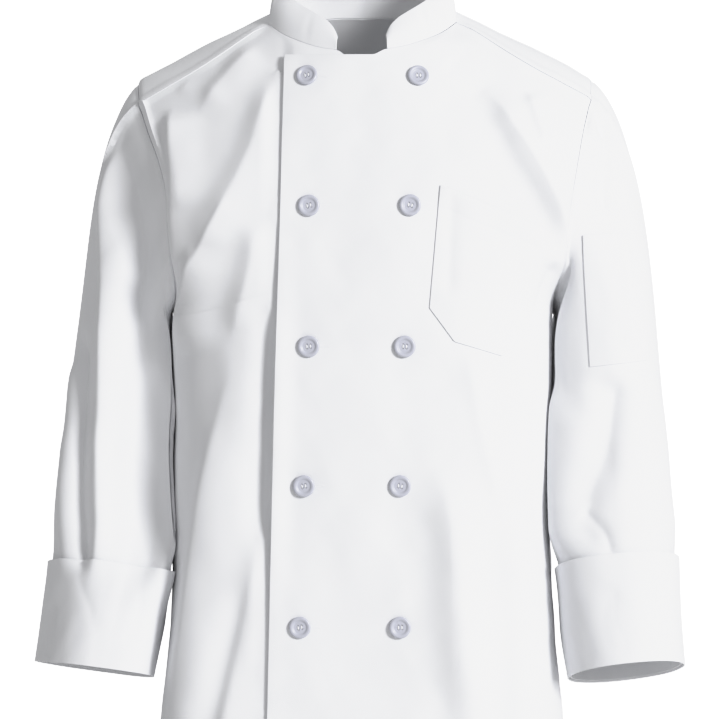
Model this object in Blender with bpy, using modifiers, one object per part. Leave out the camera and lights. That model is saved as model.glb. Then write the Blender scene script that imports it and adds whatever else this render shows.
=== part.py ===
"""A double-breasted chef jacket, worn: hollow, arms down, forearms a little forward.

Metres, +Z up, the front faces -Y and +X is the wearer's left. The origin is in the middle of the
neck, level with the points where the shoulders meet it, which is where the wearer carries it.

The torso is one smooth form, like a sheet laid over a shoulder ridge and closed at the sides. Two
angles place a point on it: the side angle, -90 and 90 at the side seams and 0 in the middle, and
the drape angle, 0 on the ridge, below zero down the front and above zero down the back. Each panel
is a grid of such points between its own seams, moved out along the form's normals by its folds.
A wall is that grid and a copy of it moved in along the same normals, so it never crosses itself.
"""

import math

import bmesh
import bpy
import numpy as np
from mathutils import Vector

# ---------------------------------------------------------------- driving dimensions
MM = 0.001
CLOTH = 0.0016  # wall of one cloth layer
SEAM_GAP = 0.0003  # between pieces
LAP_GAP = 0.0012  # between the two fronts where one laps over the other
LENGTH_BELOW_NECK = 0.765  # hem under the shoulder point at the neck
ARMPIT = -0.305  # height of the side seam's top

RIDGE_TOP = 0.0521  # shoulder ridge: height = top - slope * hypot(x, round) + tilt * x
RIDGE_SLOPE = 0.54
RIDGE_ROUND = 0.06
RIDGE_TILT = 0.012  # the right shoulder hangs a little lower
FRONT_ROUND = 0.200  # height over which the front rounds up to the ridge
BACK_ROUND = 0.140

TORSO = np.array((
    # height, half width, front depth, back depth, power: 2 is an ellipse, more is squarer
    (-0.765, 0.2040, 0.127, 0.130, 3.8),
    (-0.700, 0.1975, 0.126, 0.124, 3.8),
    (-0.600, 0.1905, 0.126, 0.115, 3.6),
    (-0.500, 0.1870, 0.127, 0.109, 3.4),
    (-0.400, 0.1865, 0.129, 0.111, 3.1),
    (-0.305, 0.1880, 0.129, 0.119, 2.9),
    (-0.250, 0.2220, 0.127, 0.123, 2.8),
    (-0.180, 0.2560, 0.122, 0.122, 2.6),
    (-0.100, 0.2850, 0.110, 0.114, 2.4),
    (0.030, 0.3000, 0.108, 0.100, 2.3),
))

# Armholes in the front view: across from the middle, height. The first point is on the forward
# shoulder seam and the last on the side seam.
ARMHOLE_FRONT = {
    "right": ((0.2215, -0.0990), (0.2130, -0.1250), (0.2020, -0.1550), (0.1945, -0.1850),
              (0.1925, -0.2200), (0.1900, -0.2550), (0.1860, -0.2850), (0.1880, ARMPIT)),
    "left": ((0.2260, -0.0980), (0.2190, -0.1250), (0.2120, -0.1600), (0.2060, -0.1950),
             (0.2010, -0.2350), (0.1965, -0.2700), (0.1900, -0.2920), (0.1880, ARMPIT)),
}
ARMHOLE_BACK = {
    "right": ((0.2245, -0.0980), (0.2160, -0.1350), (0.2080, -0.1800), (0.2030, -0.2200),
              (0.1985, -0.2600), (0.1920, -0.2880), (0.1880, ARMPIT)),
    "left": ((0.2275, -0.0980), (0.2190, -0.1350), (0.2110, -0.1800), (0.2060, -0.2200),
             (0.2000, -0.2600), (0.1930, -0.2880), (0.1880, ARMPIT)),
}
ARMHOLE_ON_RIDGE = {"right": 0.2260, "left": 0.2290}

SHOULDER_POINT = (0.0930, -0.0210)  # forward shoulder seam at the neck: across, height
SHOULDER_SAG = 0.0035  # how far the seam's middle hangs under a straight line
NECKLINE = ((0.0245, -0.0525), (0.0405, -0.0495), (0.0590, -0.0430), (0.0790, -0.0325),
            SHOULDER_POINT)  # from the collar's end to the shoulder seam
BACK_NECK = ((0.0895, 0.0), (0.0730, 19.0), (0.0420, 31.5), (0.0, 36.0))  # across, drape angle
CLOSURE_TOP = -0.0010  # middle of the closure, which drifts towards the wearer's right
CLOSURE_HEM = -0.0133
LAP_TOP = 0.0747  # from the closure's middle to the lapping edge
LAP_HEM = 0.0804
TOP_EDGE = {"right": -0.0610, "left": -0.0580}  # straight top edges, the under one lower
RIDGE_ENDS_BEFORE = 0.020  # the under front's ridges end this far before the over front's edge
RIDGE_ENDS_OVER = 0.018
HOLLOW_ENDS_BEFORE = 0.004
HOLLOW_ENDS_OVER = 0.014
# The over front rises off the form over these widths: before the under front's edge, under the
# neck's seam, and past the middle.
LAP_RISE = 0.050
LAP_RISE_STARTS = 0.065
NECK_RISE_TOP = -0.026
NECK_RISE = 0.022
MIDDLE_RISE_STARTS = 0.045
MIDDLE_RISE = 0.020

SHOULDER_CELLS = 8
NECK_CELLS = 5
LAP_CELLS = 7
SIDE_ROWS = 17  # under the armpit
ARM_ROWS = 12  # from the armpit to the shoulder seam
HEM_BREAKS = (0.085, 0.003)  # across at the hem under the shoulder point and the collar's end
WIDTH_PASSES = 14  # until a point's width and height agree
FINE = 40  # stretches in a run before it is stopped at even distances

FOLD_STRETCHES = 24
FOLD_FADE = 0.22  # share of a fold's length over which each end dies away
SLEEVE_FOLD_FADE = 0.13  # and of a sleeve's
# Folds: each is a path in the front view, across and height in millimetres, from its top down.
# Height is how far it stands out, below zero is a hollow, and its banks are the half widths
# towards the viewer's left and right.
FRONT_FOLDS = {
    "right": (
        # path, height, left bank, right bank
        (((-80, -72), (-96, -112), (-108, -152), (-128, -192), (-148, -229), (-168, -264)),
         4.5, 15, 30),
        (((-104, -215), (-108, -259), (-114, -290), (-124, -330)), 3.0, 13, 22),
        (((-161, -240), (-170, -285), (-174, -320), (-172, -355)), 8.0, 9, 28),
        (((-90, -285), (-91, -340), (-93, -400), (-95, -470), (-98, -545)), -7.0, 14, 18),
        (((-138, -400), (-146, -450), (-155, -505), (-163, -568), (-169, -620), (-174, -660),
          (-178, -700), (-181, -765)), 9.0, 12, 34),
        (((-106, -560), (-122, -610), (-134, -655), (-146, -700), (-158, -765)), -5.0, 14, 12),
        (((-186, -104), (-187, -140), (-186, -172), (-182, -212)), 5.0, 9, 24),
        (((-106, -46), (-130, -72), (-156, -106)), 3.0, 9, 20),
    ),
    "left": (
        (((76, -440), (84, -490), (90, -540), (93, -600), (96, -640), (106, -690), (120, -765)),
         9.5, 22, 30),
        (((118, -98), (140, -130), (156, -158), (176, -190), (192, -222), (202, -250)),
         6.0, 9, 20),
        (((-20, -480), (5, -540), (35, -620)), 2.5, 30, 26),
        (((140, -480), (150, -600), (156, -765)), 6.5, 16, 26),
    ),
}
BACK_FOLDS = (
    (((-150, -170), (-130, -240), (-95, -320), (-70, -400)), -5.0, 20, 18),
    (((150, -175), (126, -250), (98, -330), (80, -420)), -5.5, 18, 22),
    (((-60, -420), (-66, -540), (-84, -660), (-92, -765)), -6.5, 20, 22),
    (((54, -400), (66, -520), (76, -640), (90, -765)), -7.0, 22, 20),
    (((4, -470), (-2, -600), (6, -765)), 4.5, 28, 30),
    (((-128, -430), (-140, -560), (-150, -765)), 5.0, 24, 22),
    (((126, -450), (140, -590), (144, -765)), 5.5, 22, 24),
    (((-70, -60), (0, -86), (74, -58)), -3.0, 18, 18),
)
BACK_FOLDS_START = 0.03  # depth behind the ridge where the back's folds are whole

# Sleeve rings from the upper arm to the cuff's foot: height and place of the ring's middle, its
# half width and half depth, how far it leans out and forward in degrees, the powers that make
# its inner and outer front quarters squarer, how far its inner front comes forward, and how much
# wider its inner half is made before the torso stops it.
SLEEVES = {
    "right": np.array((
        # height, across, forward, half width, half depth, leans out, leans forward, inner power,
        # outer power, skew, reach
        (-0.340, 0.2337, -0.013, 0.0540, 0.062, 7.0, -4.0, 2.8, 2.1, 0.030, 1.12),
        (-0.400, 0.2388, -0.016, 0.0566, 0.060, 7.0, 1.0, 3.2, 2.9, 0.066, 1.30),
        (-0.460, 0.2441, -0.010, 0.0578, 0.060, 6.5, 9.0, 3.2, 3.2, 0.066, 1.30),
        (-0.520, 0.2438, 0.006, 0.0630, 0.060, 6.5, 12.0, 3.0, 3.0, 0.066, 1.28),
        (-0.560, 0.2484, 0.018, 0.0600, 0.060, 7.0, 11.0, 3.0, 2.2, 0.056, 1.14),
        (-0.610, 0.2570, 0.034, 0.0580, 0.060, 7.5, 9.0, 2.8, 1.7, 0.020, 1.02),
        (-0.660, 0.2645, 0.046, 0.0570, 0.057, 7.5, 8.0, 2.8, 1.6, 0.012, 1.00),
    )),
    "left": np.array((
        (-0.340, 0.2365, 0.008, 0.0580, 0.076, 7.0, 5.0, 2.3, 2.0, 0.000, 1.16),
        (-0.400, 0.2385, 0.016, 0.0600, 0.075, 6.0, 8.0, 2.4, 2.0, 0.000, 1.12),
        (-0.460, 0.2410, 0.028, 0.0627, 0.071, 5.5, 11.0, 2.6, 2.0, 0.000, 1.08),
        (-0.520, 0.2455, 0.042, 0.0630, 0.066, 5.5, 13.0, 3.2, 2.0, 0.000, 1.06),
        (-0.560, 0.2500, 0.052, 0.0575, 0.063, 5.5, 13.5, 3.0, 2.0, 0.000, 1.00),
        (-0.610, 0.2525, 0.064, 0.0570, 0.060, 5.5, 14.0, 2.7, 2.0, 0.000, 1.00),
        (-0.660, 0.2578, 0.076, 0.0550, 0.058, 6.0, 14.0, 2.3, 2.0, 0.000, 1.00),
    )),
}
CAP_ROWS = 8  # from the armhole to the first ring
ENTERS_OVER = 0.02  # stretch of arm that gives the direction at the first ring
ARM_RINGS = 13  # from the first ring to the cuff's foot
# How a sleeve leaves the armhole and enters its first ring, by the quarter turns from the top
# round the front: out, back and down are the direction it leaves in.
CAP = {
    "right": np.array((
        # turn, out, back, down, leaving reach, entering reach
        (0, 0.82, 0.00, 0.57, 0.054, 0.125),
        (60, 0.62, 0.34, 0.66, 0.046, 0.085),
        (90, 0.50, 0.50, 0.66, 0.042, 0.060),
        (130, 0.58, 0.40, 0.60, 0.030, 0.040),
        (180, 0.74, 0.00, 0.67, 0.009, 0.020),
        (270, 0.64, -0.20, 0.74, 0.040, 0.060),
        (360, 0.82, 0.00, 0.57, 0.054, 0.125),
    )),
    "left": np.array((
        (0, 0.82, 0.00, 0.57, 0.054, 0.125),
        (90, 0.62, 0.22, 0.75, 0.035, 0.060),
        (135, 0.62, 0.16, 0.76, 0.016, 0.050),
        (180, 0.60, 0.00, 0.80, 0.009, 0.024),
        (270, 0.64, -0.20, 0.74, 0.040, 0.060),
        (360, 0.82, 0.00, 0.57, 0.054, 0.125),
    )),
}
ARM_CLEARANCE = 0.0028  # between a sleeve and the torso
CUFF_CLEARANCE = 0.0020
UNDER_CUFF = 0.0038  # how much more a sleeve keeps clear where its cuff covers it
UNDER_CUFF_OVER = 0.025  # the height over which that grows
CLEARANCE_ROUND = 0.0012  # how softly a sleeve bends away from the torso
CLEAR_UNDER = ARMPIT + 0.08  # a sleeve's rings keep clear of the torso below this height
CAP_CLEAR_UNDER = ARMPIT + 0.02  # and its cap below this one, from the third row on
CLEAR_ROWS = 3
CALM_ROWS = 4  # folds grow over these rows below the armhole
SKEW_STARTS = 0.28  # part of the half width from which the inner front comes forward
UNDER_ARM = (18, 16)  # degrees each side of the under-arm with no ridges, then over which they grow
SHARPEST_MITRE = 0.45  # a seam's offset is at most about twice the cloth
MM_A_DEGREE = 1.15  # cloth round the arm to a degree of turn
# Folds on a sleeve: path of turn in degrees and height in millimetres
SLEEVE_FOLDS = {
    "right": (
        # path, height, bank before, bank after
        (((1, -108), (4, -140), (16, -187), (27, -217), (40, -246), (54, -276), (63, -316),
          (70, -394), (75, -512), (78, -578)), 7.5, 10, 17),
        (((2, -100), (4, -134), (20, -161), (48, -198), (80, -247), (98, -300), (106, -340)),
         -12.0, 16, 24),
        (((98, -300), (105, -355), (109, -394), (114, -434), (116, -512), (124, -590)),
         -6.0, 16, 20),
        (((24, -320), (42, -355), (50, -395), (55, -434), (58, -473), (62, -512), (68, -572)),
         -7.0, 10, 10),
        (((20, -345), (30, -385), (35, -434), (37, -473), (41, -512), (46, -574)), 3.0, 12, 10),
        (((235, -250), (245, -370), (238, -500)), -5.0, 20, 20),
        (((290, -330), (280, -440), (285, -540)), 4.0, 22, 18),
    ),
    "left": (
        (((80, -365), (85, -394), (91, -423), (99, -452), (110, -481), (118, -510), (116, -545)),
         -7.5, 18, 20),
        (((104, -214), (126, -243), (148, -285), (152, -330), (152, -390)), -4.0, 12, 12),
        (((130, -240), (128, -330), (120, -420)), -3.0, 18, 18),
        (((240, -260), (250, -360), (236, -480)), -5.0, 20, 20),
        (((300, -350), (285, -450), (292, -540)), 4.0, 18, 22),
    ),
}

CUFF_TOP = {"right": -0.5640, "left": -0.5560}
CUFF_ROWS = 4
CUFF_PROUD = 0.0010  # between the cuff and the sleeve all the way, over the seam's gap
CUFF_STANDS_OUT = 0.0020  # how much more its turned-back top stands off
SLEEVE_STOPS_SHORT = 0.004  # sleeve's end above the cuff's foot, inside it

COLLAR_HEIGHTS = np.array((
    # along from the front end, height
    (0.000, 0.015), (0.004, 0.023), (0.009, 0.0285), (0.018, 0.0335), (0.034, 0.0365),
    (0.070, 0.0395), (0.130, 0.041),
))
COLLAR_LEAN = np.array((
    # along from the front end, how far it leans in, degrees
    (0.0, 24.0), (0.04, 24.0), (0.10, 12.0), (0.16, 10.0), (0.22, 12.0),
))
COLLAR_ROWS = 3
COLLAR_CROWN = 0.0020  # how far its middle bulges
COLLAR_GAP = 0.0004  # between its foot and the panels

CHEST_POCKET = ((0.0745, -0.1865), (0.1735, -0.2270), (0.1690, -0.3230), (0.1540, -0.3390),
                (0.1352, -0.3515), (0.0880, -0.3375), (0.0640, -0.3050))
SLEEVE_POCKET = ((0.2145, -0.2330), (0.2690, -0.2300), (0.2790, -0.3555), (0.2215, -0.3620))
POCKET_CLOTH = 0.0012
SMALLEST_EDGE = 0.0006  # shorter edges left by a pocket's outline are closed

BUTTON_ROWS = (
    # height, across on the lapping side, across on the other side
    (-0.0800, -0.0535, 0.0536),
    (-0.2065, -0.0517, 0.0455),
    (-0.3420, -0.0517, 0.0403),
    (-0.4760, -0.0563, 0.0359),
    (-0.6120, -0.0601, 0.0359),
)
BUTTON_RADIUS = 0.0105
BUTTON_PROFILE = (
    # out from the middle, up from the back; from the top round the rim to the back
    (0.0, 0.0022), (0.0060, 0.0022), (0.0073, 0.0034), (0.0092, 0.0034), (BUTTON_RADIUS, 0.0022),
    (BUTTON_RADIUS, 0.0012), (0.0085, 0.0), (0.0, 0.0),
)
BUTTON_STEPS = 14
BUTTON_RESTS_ON = 0.034  # the cloth this near a button holds it up

SIDES = {"right": -1.0, "left": 1.0}
WHITE = (0.86, 0.865, 0.885, 1.0)
GREY = (0.60, 0.61, 0.68, 1.0)


# ---------------------------------------------------------------- curves
def table(rows, column, at):
    """A smooth curve through one column of a table, whose first column rises: cubic between rows,
    never passing beyond them."""
    rows = np.asarray(rows, float)
    x, y = rows[:, 0], rows[:, column]
    step = np.diff(y) / np.diff(x)
    slope = np.concatenate(([step[0]], np.zeros(len(x) - 2), [step[-1]]))
    same = step[:-1] * step[1:] > 0
    slope[1:-1][same] = 2 * step[:-1][same] * step[1:][same] / (step[:-1] + step[1:])[same]
    at = np.clip(at, x[0], x[-1])
    i = np.clip(np.searchsorted(x, at, side="right") - 1, 0, len(x) - 2)
    h = (x[i + 1] - x[i])
    t = (at - x[i]) / h
    return ((1 + 2 * t) * (1 - t) ** 2 * y[i] + t * (1 - t) ** 2 * h * slope[i]
            + t * t * (3 - 2 * t) * y[i + 1] - t * t * (1 - t) * h * slope[i + 1])


def even(points, steps):
    """Points at even distances along a smooth curve through the given ones."""
    points = np.asarray(points, float)
    reach = np.concatenate(([0.0], np.cumsum(np.linalg.norm(np.diff(points, axis=0), axis=1))))
    slope = np.gradient(points, reach, axis=0)
    fine = np.linspace(0, reach[-1], 40 * len(points))
    i = np.clip(np.searchsorted(reach, fine, side="right") - 1, 0, len(reach) - 2)
    h = (reach[i + 1] - reach[i])[:, None]
    t = ((fine - reach[i])[:, None]) / h
    line = ((1 + 2 * t) * (1 - t) ** 2 * points[i] + t * (1 - t) ** 2 * h * slope[i]
            + t * t * (3 - 2 * t) * points[i + 1] - t * t * (1 - t) * h * slope[i + 1])
    walked = np.concatenate(([0.0], np.cumsum(np.linalg.norm(np.diff(line, axis=0), axis=1))))
    stops = np.linspace(0, walked[-1], steps + 1)
    return np.stack([np.interp(stops, walked, line[:, k]) for k in range(points.shape[1])], axis=1)


def ease(t):
    """0 to 1 with flat ends."""
    t = np.clip(t, 0, 1)
    return t * t * (3 - 2 * t)


# ---------------------------------------------------------------- the torso's form
def ridge(x):
    """Height of the shoulder ridge over a place across."""
    return RIDGE_TOP - RIDGE_SLOPE * np.hypot(x, RIDGE_ROUND) + RIDGE_TILT * x


def torso(side, drape):
    """Points of the form for side and drape angles in radians."""
    turn = np.abs(drape)
    fall = np.where(turn < math.pi / 2, 1 - np.cos(turn), 1 + turn - math.pi / 2)
    fall = fall * np.where(drape > 0, BACK_ROUND, FRONT_ROUND)
    x = 0.2 * np.sin(side)
    for _ in range(WIDTH_PASSES):  # width depends on height, and the ridge's height on the place
        z = ridge(x) - fall
        power = table(TORSO, 4, z)
        x = np.sign(side) * np.abs(np.sin(side)) ** (2 / power) * table(TORSO, 1, z)
    depth = np.where(drape > 0, table(TORSO, 3, z), table(TORSO, 2, z))
    y = np.sign(drape) * depth * np.abs(np.cos(side)) ** (2 / power)
    y = y * np.sin(np.minimum(turn, math.pi / 2))
    return np.stack((x, y, z), axis=-1)


def angles(across, height, back=False):
    """Side and drape angles of a point of the form seen from the front or the back."""
    across, height = np.asarray(across, float), np.asarray(height, float)
    share = np.clip(np.abs(across) / table(TORSO, 1, height), 0, 1)
    side = np.sign(across) * np.arcsin(share ** (table(TORSO, 4, height) / 2))
    fall = (ridge(across) - height) / (BACK_ROUND if back else FRONT_ROUND)
    drape = np.where(fall < 1, np.arccos(np.clip(1 - fall, -1, 1)), math.pi / 2 + fall - 1)
    return np.stack((side, drape if back else -drape), axis=-1)


def inside(p):
    """Below zero inside the form, zero on it."""
    x, y, z = p[..., 0], p[..., 1], p[..., 2]
    round_height = np.where(y > 0, BACK_ROUND, FRONT_ROUND)
    depth = np.where(y > 0, table(TORSO, 3, z), table(TORSO, 2, z))
    roof = np.clip((z - ridge(x)) / round_height + 1, 0, 1)
    power = table(TORSO, 4, z)
    room = np.clip(1 - (np.abs(x) / table(TORSO, 1, z)) ** power, 0, 1)
    return (y / depth) ** 2 - room ** (2 / power) * (1 - roof ** 2)


def normals(p, step=0.0008):
    """Outward normals of the form, from its slope along each axis."""
    slope = np.stack([inside(p + step * axis) - inside(p - step * axis) for axis in np.eye(3)], -1)
    return slope / np.maximum(np.linalg.norm(slope, axis=-1, keepdims=True), 1e-9)


def half_width(y, z):
    """How far the form reaches to each side at a depth and a height."""
    depth = np.where(y > 0, table(TORSO, 3, z), table(TORSO, 2, z))
    power = table(TORSO, 4, z)
    room = np.clip(1 - (np.abs(y) / depth) ** power, 0, 1)
    return table(TORSO, 1, z) * room ** (1 / power)


# ---------------------------------------------------------------- folds
def beside_path(path, across, height):
    """For places near a path: the distance to it, the share of it walked there, and which side
    of it they are on, above zero to the left of its run."""
    line = even(path, FOLD_STRETCHES)
    start, run = line[:-1], np.diff(line, axis=0)
    off = np.stack((across, height), -1)[..., None, :] - start
    share = np.clip((off * run).sum(-1) / (run ** 2).sum(-1), 0, 1)
    away = np.linalg.norm(off - share[..., None] * run, axis=-1)
    turning = run[:, 0] * off[..., 1] - run[:, 1] * off[..., 0]
    near = away.argmin(-1)[..., None]
    away, share, turning = (np.take_along_axis(v, near, -1)[..., 0] for v in (away, share, turning))
    return away, (near[..., 0] + share) / len(run), turning


def fold_height(rows, across, height, fade=FOLD_FADE):
    """Sum of the folds at places in millimetres: each is a soft bank on both sides of its path,
    and dies away at its ends."""
    total = np.zeros(np.shape(across))
    for path, rise, left_bank, right_bank in rows:
        away, along, turning = beside_path(path, across, height)
        bank = np.where(turning < 0, left_bank, right_bank)
        ends = ease(along / fade) * ease((1 - along) / fade)
        total += rise * np.exp(-(away / bank) ** 2) * ends
    return total


# ---------------------------------------------------------------- panels
def patch(bottom, top, start, end):
    """A grid between four borders that share their corners. A border's bends spread over the
    whole height, but only a little way across."""
    s = np.linspace(0, 1, len(bottom))[None, :, None]
    t = np.linspace(0, 1, len(start))[:, None, None]
    grid = (1 - t) * bottom[None] + t * top[None]
    start_bend = start[:, None] - ((1 - t) * bottom[0] + t * top[0])
    end_bend = end[:, None] - ((1 - t) * bottom[-1] + t * top[-1])
    return grid + (1 - s) ** 3 * start_bend + s ** 3 * end_bend


def joined(*runs):
    """Runs of points end to end, each without the last point of the one before."""
    return np.concatenate([run if i == 0 else run[1:] for i, run in enumerate(runs)])


def shoulder_seam(name):
    """Forward shoulder seam from the neck to the armhole."""
    start, end = np.array(SHOULDER_POINT), np.array(ARMHOLE_FRONT[name][0])
    middle = (start + end) / 2 - (0, SHOULDER_SAG)
    return angles(*even((start, middle, end), SHOULDER_CELLS).T)


def side_seam(name, back):
    """From the hem up to the armpit."""
    z = np.linspace(-LENGTH_BELOW_NECK, ARMPIT, SIDE_ROWS + 1)
    return angles(SIDES[name] * table(TORSO, 1, z), z, back)


def mirror_to(name, run):
    """A run on the wearer's left as it is, or mirrored to the right."""
    return run * (SIDES[name], 1)


def front_armhole(name):
    """From the armpit up to the forward shoulder seam."""
    return angles(*even(ARMHOLE_FRONT[name], ARM_ROWS)[::-1].T)


def back_armhole(name):
    """From the armpit up the back, over the ridge and down to the forward shoulder seam."""
    behind = angles(*even(ARMHOLE_BACK[name], FINE).T, back=True)[::-1]
    on_ridge = angles([ARMHOLE_ON_RIDGE[name]], ridge(np.array([ARMHOLE_ON_RIDGE[name]])))
    ahead = angles(*np.array([ARMHOLE_FRONT[name][0]]).T)
    return even_on_form(np.concatenate((behind, on_ridge, ahead)), ARM_ROWS)


def lap_edge(name, height):
    """Place across of a front's lapping edge at a height."""
    share = (height - TOP_EDGE["left"]) / (-LENGTH_BELOW_NECK - TOP_EDGE["left"])
    middle = CLOSURE_TOP + share * (CLOSURE_HEM - CLOSURE_TOP)
    return middle - SIDES[name] * (LAP_TOP + share * (LAP_HEM - LAP_TOP))


def front_angles(name):
    """Angle grid of a front: columns from the lapping edge to the side, rows from the hem up."""
    sign = SIDES[name]
    rows = SIDE_ROWS + ARM_ROWS
    z = np.linspace(-LENGTH_BELOW_NECK, TOP_EDGE[name], rows + 1)
    start = angles(lap_edge(name, z), z)
    end = joined(side_seam(name, False), mirror_to(name, front_armhole(name)))
    collar_end = np.array((sign * NECKLINE[0][0] + CLOSURE_TOP, TOP_EDGE[name]))
    corner = np.array((lap_edge(name, TOP_EDGE[name]), TOP_EDGE[name]))
    straight = np.linspace(corner, collar_end, LAP_CELLS + 1)
    off_middle = np.linspace(1, 0, NECK_CELLS + 1)[:, None] * (CLOSURE_TOP, 0)
    neck = even(NECKLINE, NECK_CELLS) * (sign, 1) + off_middle
    lower = ridge(neck[:, 0]) - ridge(np.abs(neck[:, 0]))  # of the side whose shoulder hangs lower
    neck[:, 1] += lower * np.linspace(0, 1, NECK_CELLS + 1)
    straight[-1] = neck[0]  # the edge's last cell rises to the collar's end
    top = joined(angles(*joined(straight, neck).T), mirror_to(name, shoulder_seam(name)))
    hem_z = -LENGTH_BELOW_NECK
    breaks = [angles(sign * x, hem_z) for x in HEM_BREAKS]
    cells = (LAP_CELLS, NECK_CELLS, SHOULDER_CELLS)
    stops = (start[0], breaks[1], breaks[0], end[0])
    hem = joined(*(np.linspace(a, b, n + 1) for a, b, n in zip(stops[:-1], stops[1:], cells)))
    hem[:, 1] = [angles(torso(side, drape)[0], hem_z)[1] for side, drape in hem]
    return patch(hem, top, start, end)


def back_angles():
    """Angle grid of the back: columns from the wearer's right to the left, rows from the hem up."""
    start = joined(side_seam("right", True), mirror_to("right", back_armhole("right")))
    end = joined(side_seam("left", True), back_armhole("left"))
    across, drape = np.array(BACK_NECK).T
    side = np.arcsin((across / table(TORSO, 1, 0.0)) ** (table(TORSO, 4, 0.0) / 2))
    neck = even(np.stack((side, np.radians(drape)), axis=1), FINE)
    half_neck = even_on_form(np.concatenate(([shoulder_seam("left")[0]], neck)), NECK_CELLS)
    right_neck = half_neck * (-1, 1)
    top = joined(shoulder_seam("right")[::-1] * (-1, 1), right_neck, half_neck[::-1],
                 shoulder_seam("left"))
    across = np.linspace(-math.pi / 2, math.pi / 2, len(top))
    hem_z = np.full(len(top), -LENGTH_BELOW_NECK)
    hem = np.sign(across) * np.abs(np.sin(across)) ** (2 / TORSO[0, 4]) * TORSO[0, 1]
    hem = angles(hem, hem_z, True)
    return patch(hem, top, start, end)


def even_on_form(line, steps):
    """A fine run of angles, stopped at even distances on the form."""
    spots = torso(*line.T)
    walked = np.concatenate(([0.0], np.cumsum(np.linalg.norm(np.diff(spots, axis=0), axis=1))))
    stops = np.linspace(0, walked[-1], steps + 1)
    return np.stack([np.interp(stops, walked, line[:, k]) for k in range(2)], axis=1)


def calm_borders(height, free, reach=1.5):
    """Folds die away within some cells of a panel's seams, which its neighbours share. Free
    borders keep them."""
    i = np.arange(height.shape[0])[:, None]
    j = np.arange(height.shape[1])[None, :]
    for name, away in (("bottom", i), ("top", i[::-1]), ("start", j), ("end", j[:, ::-1])):
        if name not in free:
            height = height * ease(away / reach)
    return height


def lap_raise(p):
    """How far the over front is lifted off the form to clear the under one."""
    past_hidden_edge = p[..., 0] - lap_edge("right", p[..., 2])
    beside = ease((LAP_RISE_STARTS - past_hidden_edge) / LAP_RISE)
    under_neck = ease((NECK_RISE_TOP - p[..., 2]) / NECK_RISE)
    at_middle = ease((MIDDLE_RISE_STARTS - p[..., 0]) / MIDDLE_RISE)
    return (CLOTH + LAP_GAP) * beside * np.maximum(under_neck, at_middle)


def over_front():
    """Outer points and normals of the over front, lifted off the form where it laps."""
    flat = torso(*np.moveaxis(front_angles("left"), -1, 0))
    out = normals(flat)
    folds = fold_height(FRONT_FOLDS["left"], flat[..., 0] / MM, flat[..., 2] / MM)
    lift = calm_borders(folds, ("bottom", "start")) * MM + lap_raise(flat)
    return flat + out * lift[..., None], out


def under_front():
    """Outer points and normals of the under front. Past the over front's edge it takes that
    front's folds, so that the two stay apart, and its own ridges end before the edge."""
    flat = torso(*np.moveaxis(front_angles("right"), -1, 0))
    out = normals(flat)
    own = fold_height(FRONT_FOLDS["right"], flat[..., 0] / MM, flat[..., 2] / MM)
    own = calm_borders(own, ("bottom", "start"))
    over = fold_height(FRONT_FOLDS["left"], flat[..., 0] / MM, flat[..., 2] / MM)
    past_edge = flat[..., 0] - lap_edge("left", flat[..., 2])
    ridge_ends = ease((past_edge + RIDGE_ENDS_BEFORE) / RIDGE_ENDS_OVER)
    hollow_ends = ease((past_edge + HOLLOW_ENDS_BEFORE) / HOLLOW_ENDS_OVER)
    under_lap = np.where(own > 0, ridge_ends, hollow_ends)
    lift = (own * (1 - under_lap) + over * under_lap) * MM
    return flat + out * lift[..., None], out


def back_panel():
    """Outer points and normals of the back."""
    flat = torso(*np.moveaxis(back_angles(), -1, 0))
    out = normals(flat)
    behind = ease(flat[..., 1] / BACK_FOLDS_START)
    lift = fold_height(BACK_FOLDS, flat[..., 0] / MM, flat[..., 2] / MM) * behind
    lift = calm_borders(lift, ("bottom",)) * MM
    return flat + out * lift[..., None], out


# ---------------------------------------------------------------- sleeves
def armhole_loop(name, front, back):
    """Armhole points and normals round from the forward shoulder seam down the front, under the
    arm and up the back, taken from the panels' own borders."""
    column = -1 if name == "left" else 0
    parts = []
    for k in (0, 1):
        down_front = front[k][SIDE_ROWS:, -1][::-1]
        up_back = back[k][SIDE_ROWS:, column]
        parts.append(np.concatenate((down_front, up_back[1:-1])))
    return parts


def arm_ring(name, height, turn):
    """Points of a sleeve's ring, turn 0 outside, 90 in front, 180 towards the torso, tipped out
    and forward. Its two front quarters are the squarer curves cos^power + sin^power = 1. Past
    SKEW_STARTS of the half width inward the front comes forward by skew * inward^1.5 * sin^0.5.
    Where the ring would reach into the torso, it lies against it with the clearance between."""
    rows = SLEEVES[name][::-1]
    across, forward, wide, deep, leans_out, leans_forward, inner, outer, skew, reach = (
        table(rows, column, height) for column in range(1, 11))
    out_angle, forward_angle = np.radians(leans_out), np.radians(leans_forward)
    cosine, sine = np.cos(turn), np.sin(turn)
    power = np.where(sine > 0, np.where(cosine < 0, inner, outer), 2.0)
    squarer = (np.abs(cosine) ** power + np.abs(sine) ** power) ** (-1 / power)
    out = wide * cosine * squarer * np.where(cosine < 0, reach, 1)
    inward = np.maximum(-cosine * squarer - SKEW_STARTS, 0)
    ahead = deep * sine * squarer + skew * inward ** 1.5 * np.maximum(sine, 0) ** 0.5
    x = across + out * np.cos(out_angle)
    y = -forward - ahead * np.cos(forward_angle)
    z = height + out * np.sin(out_angle) + ahead * np.sin(forward_angle)
    under_cuff = ease((CUFF_TOP[name] + UNDER_CUFF_OVER - height) / UNDER_CUFF_OVER)
    gap = half_width(y, z) + ARM_CLEARANCE + UNDER_CUFF * under_cuff - x
    x = x + 0.5 * (gap + np.hypot(gap, CLEARANCE_ROUND)) * (z < CLEAR_UNDER)
    return np.stack((x, y, z), axis=-1)


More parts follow.
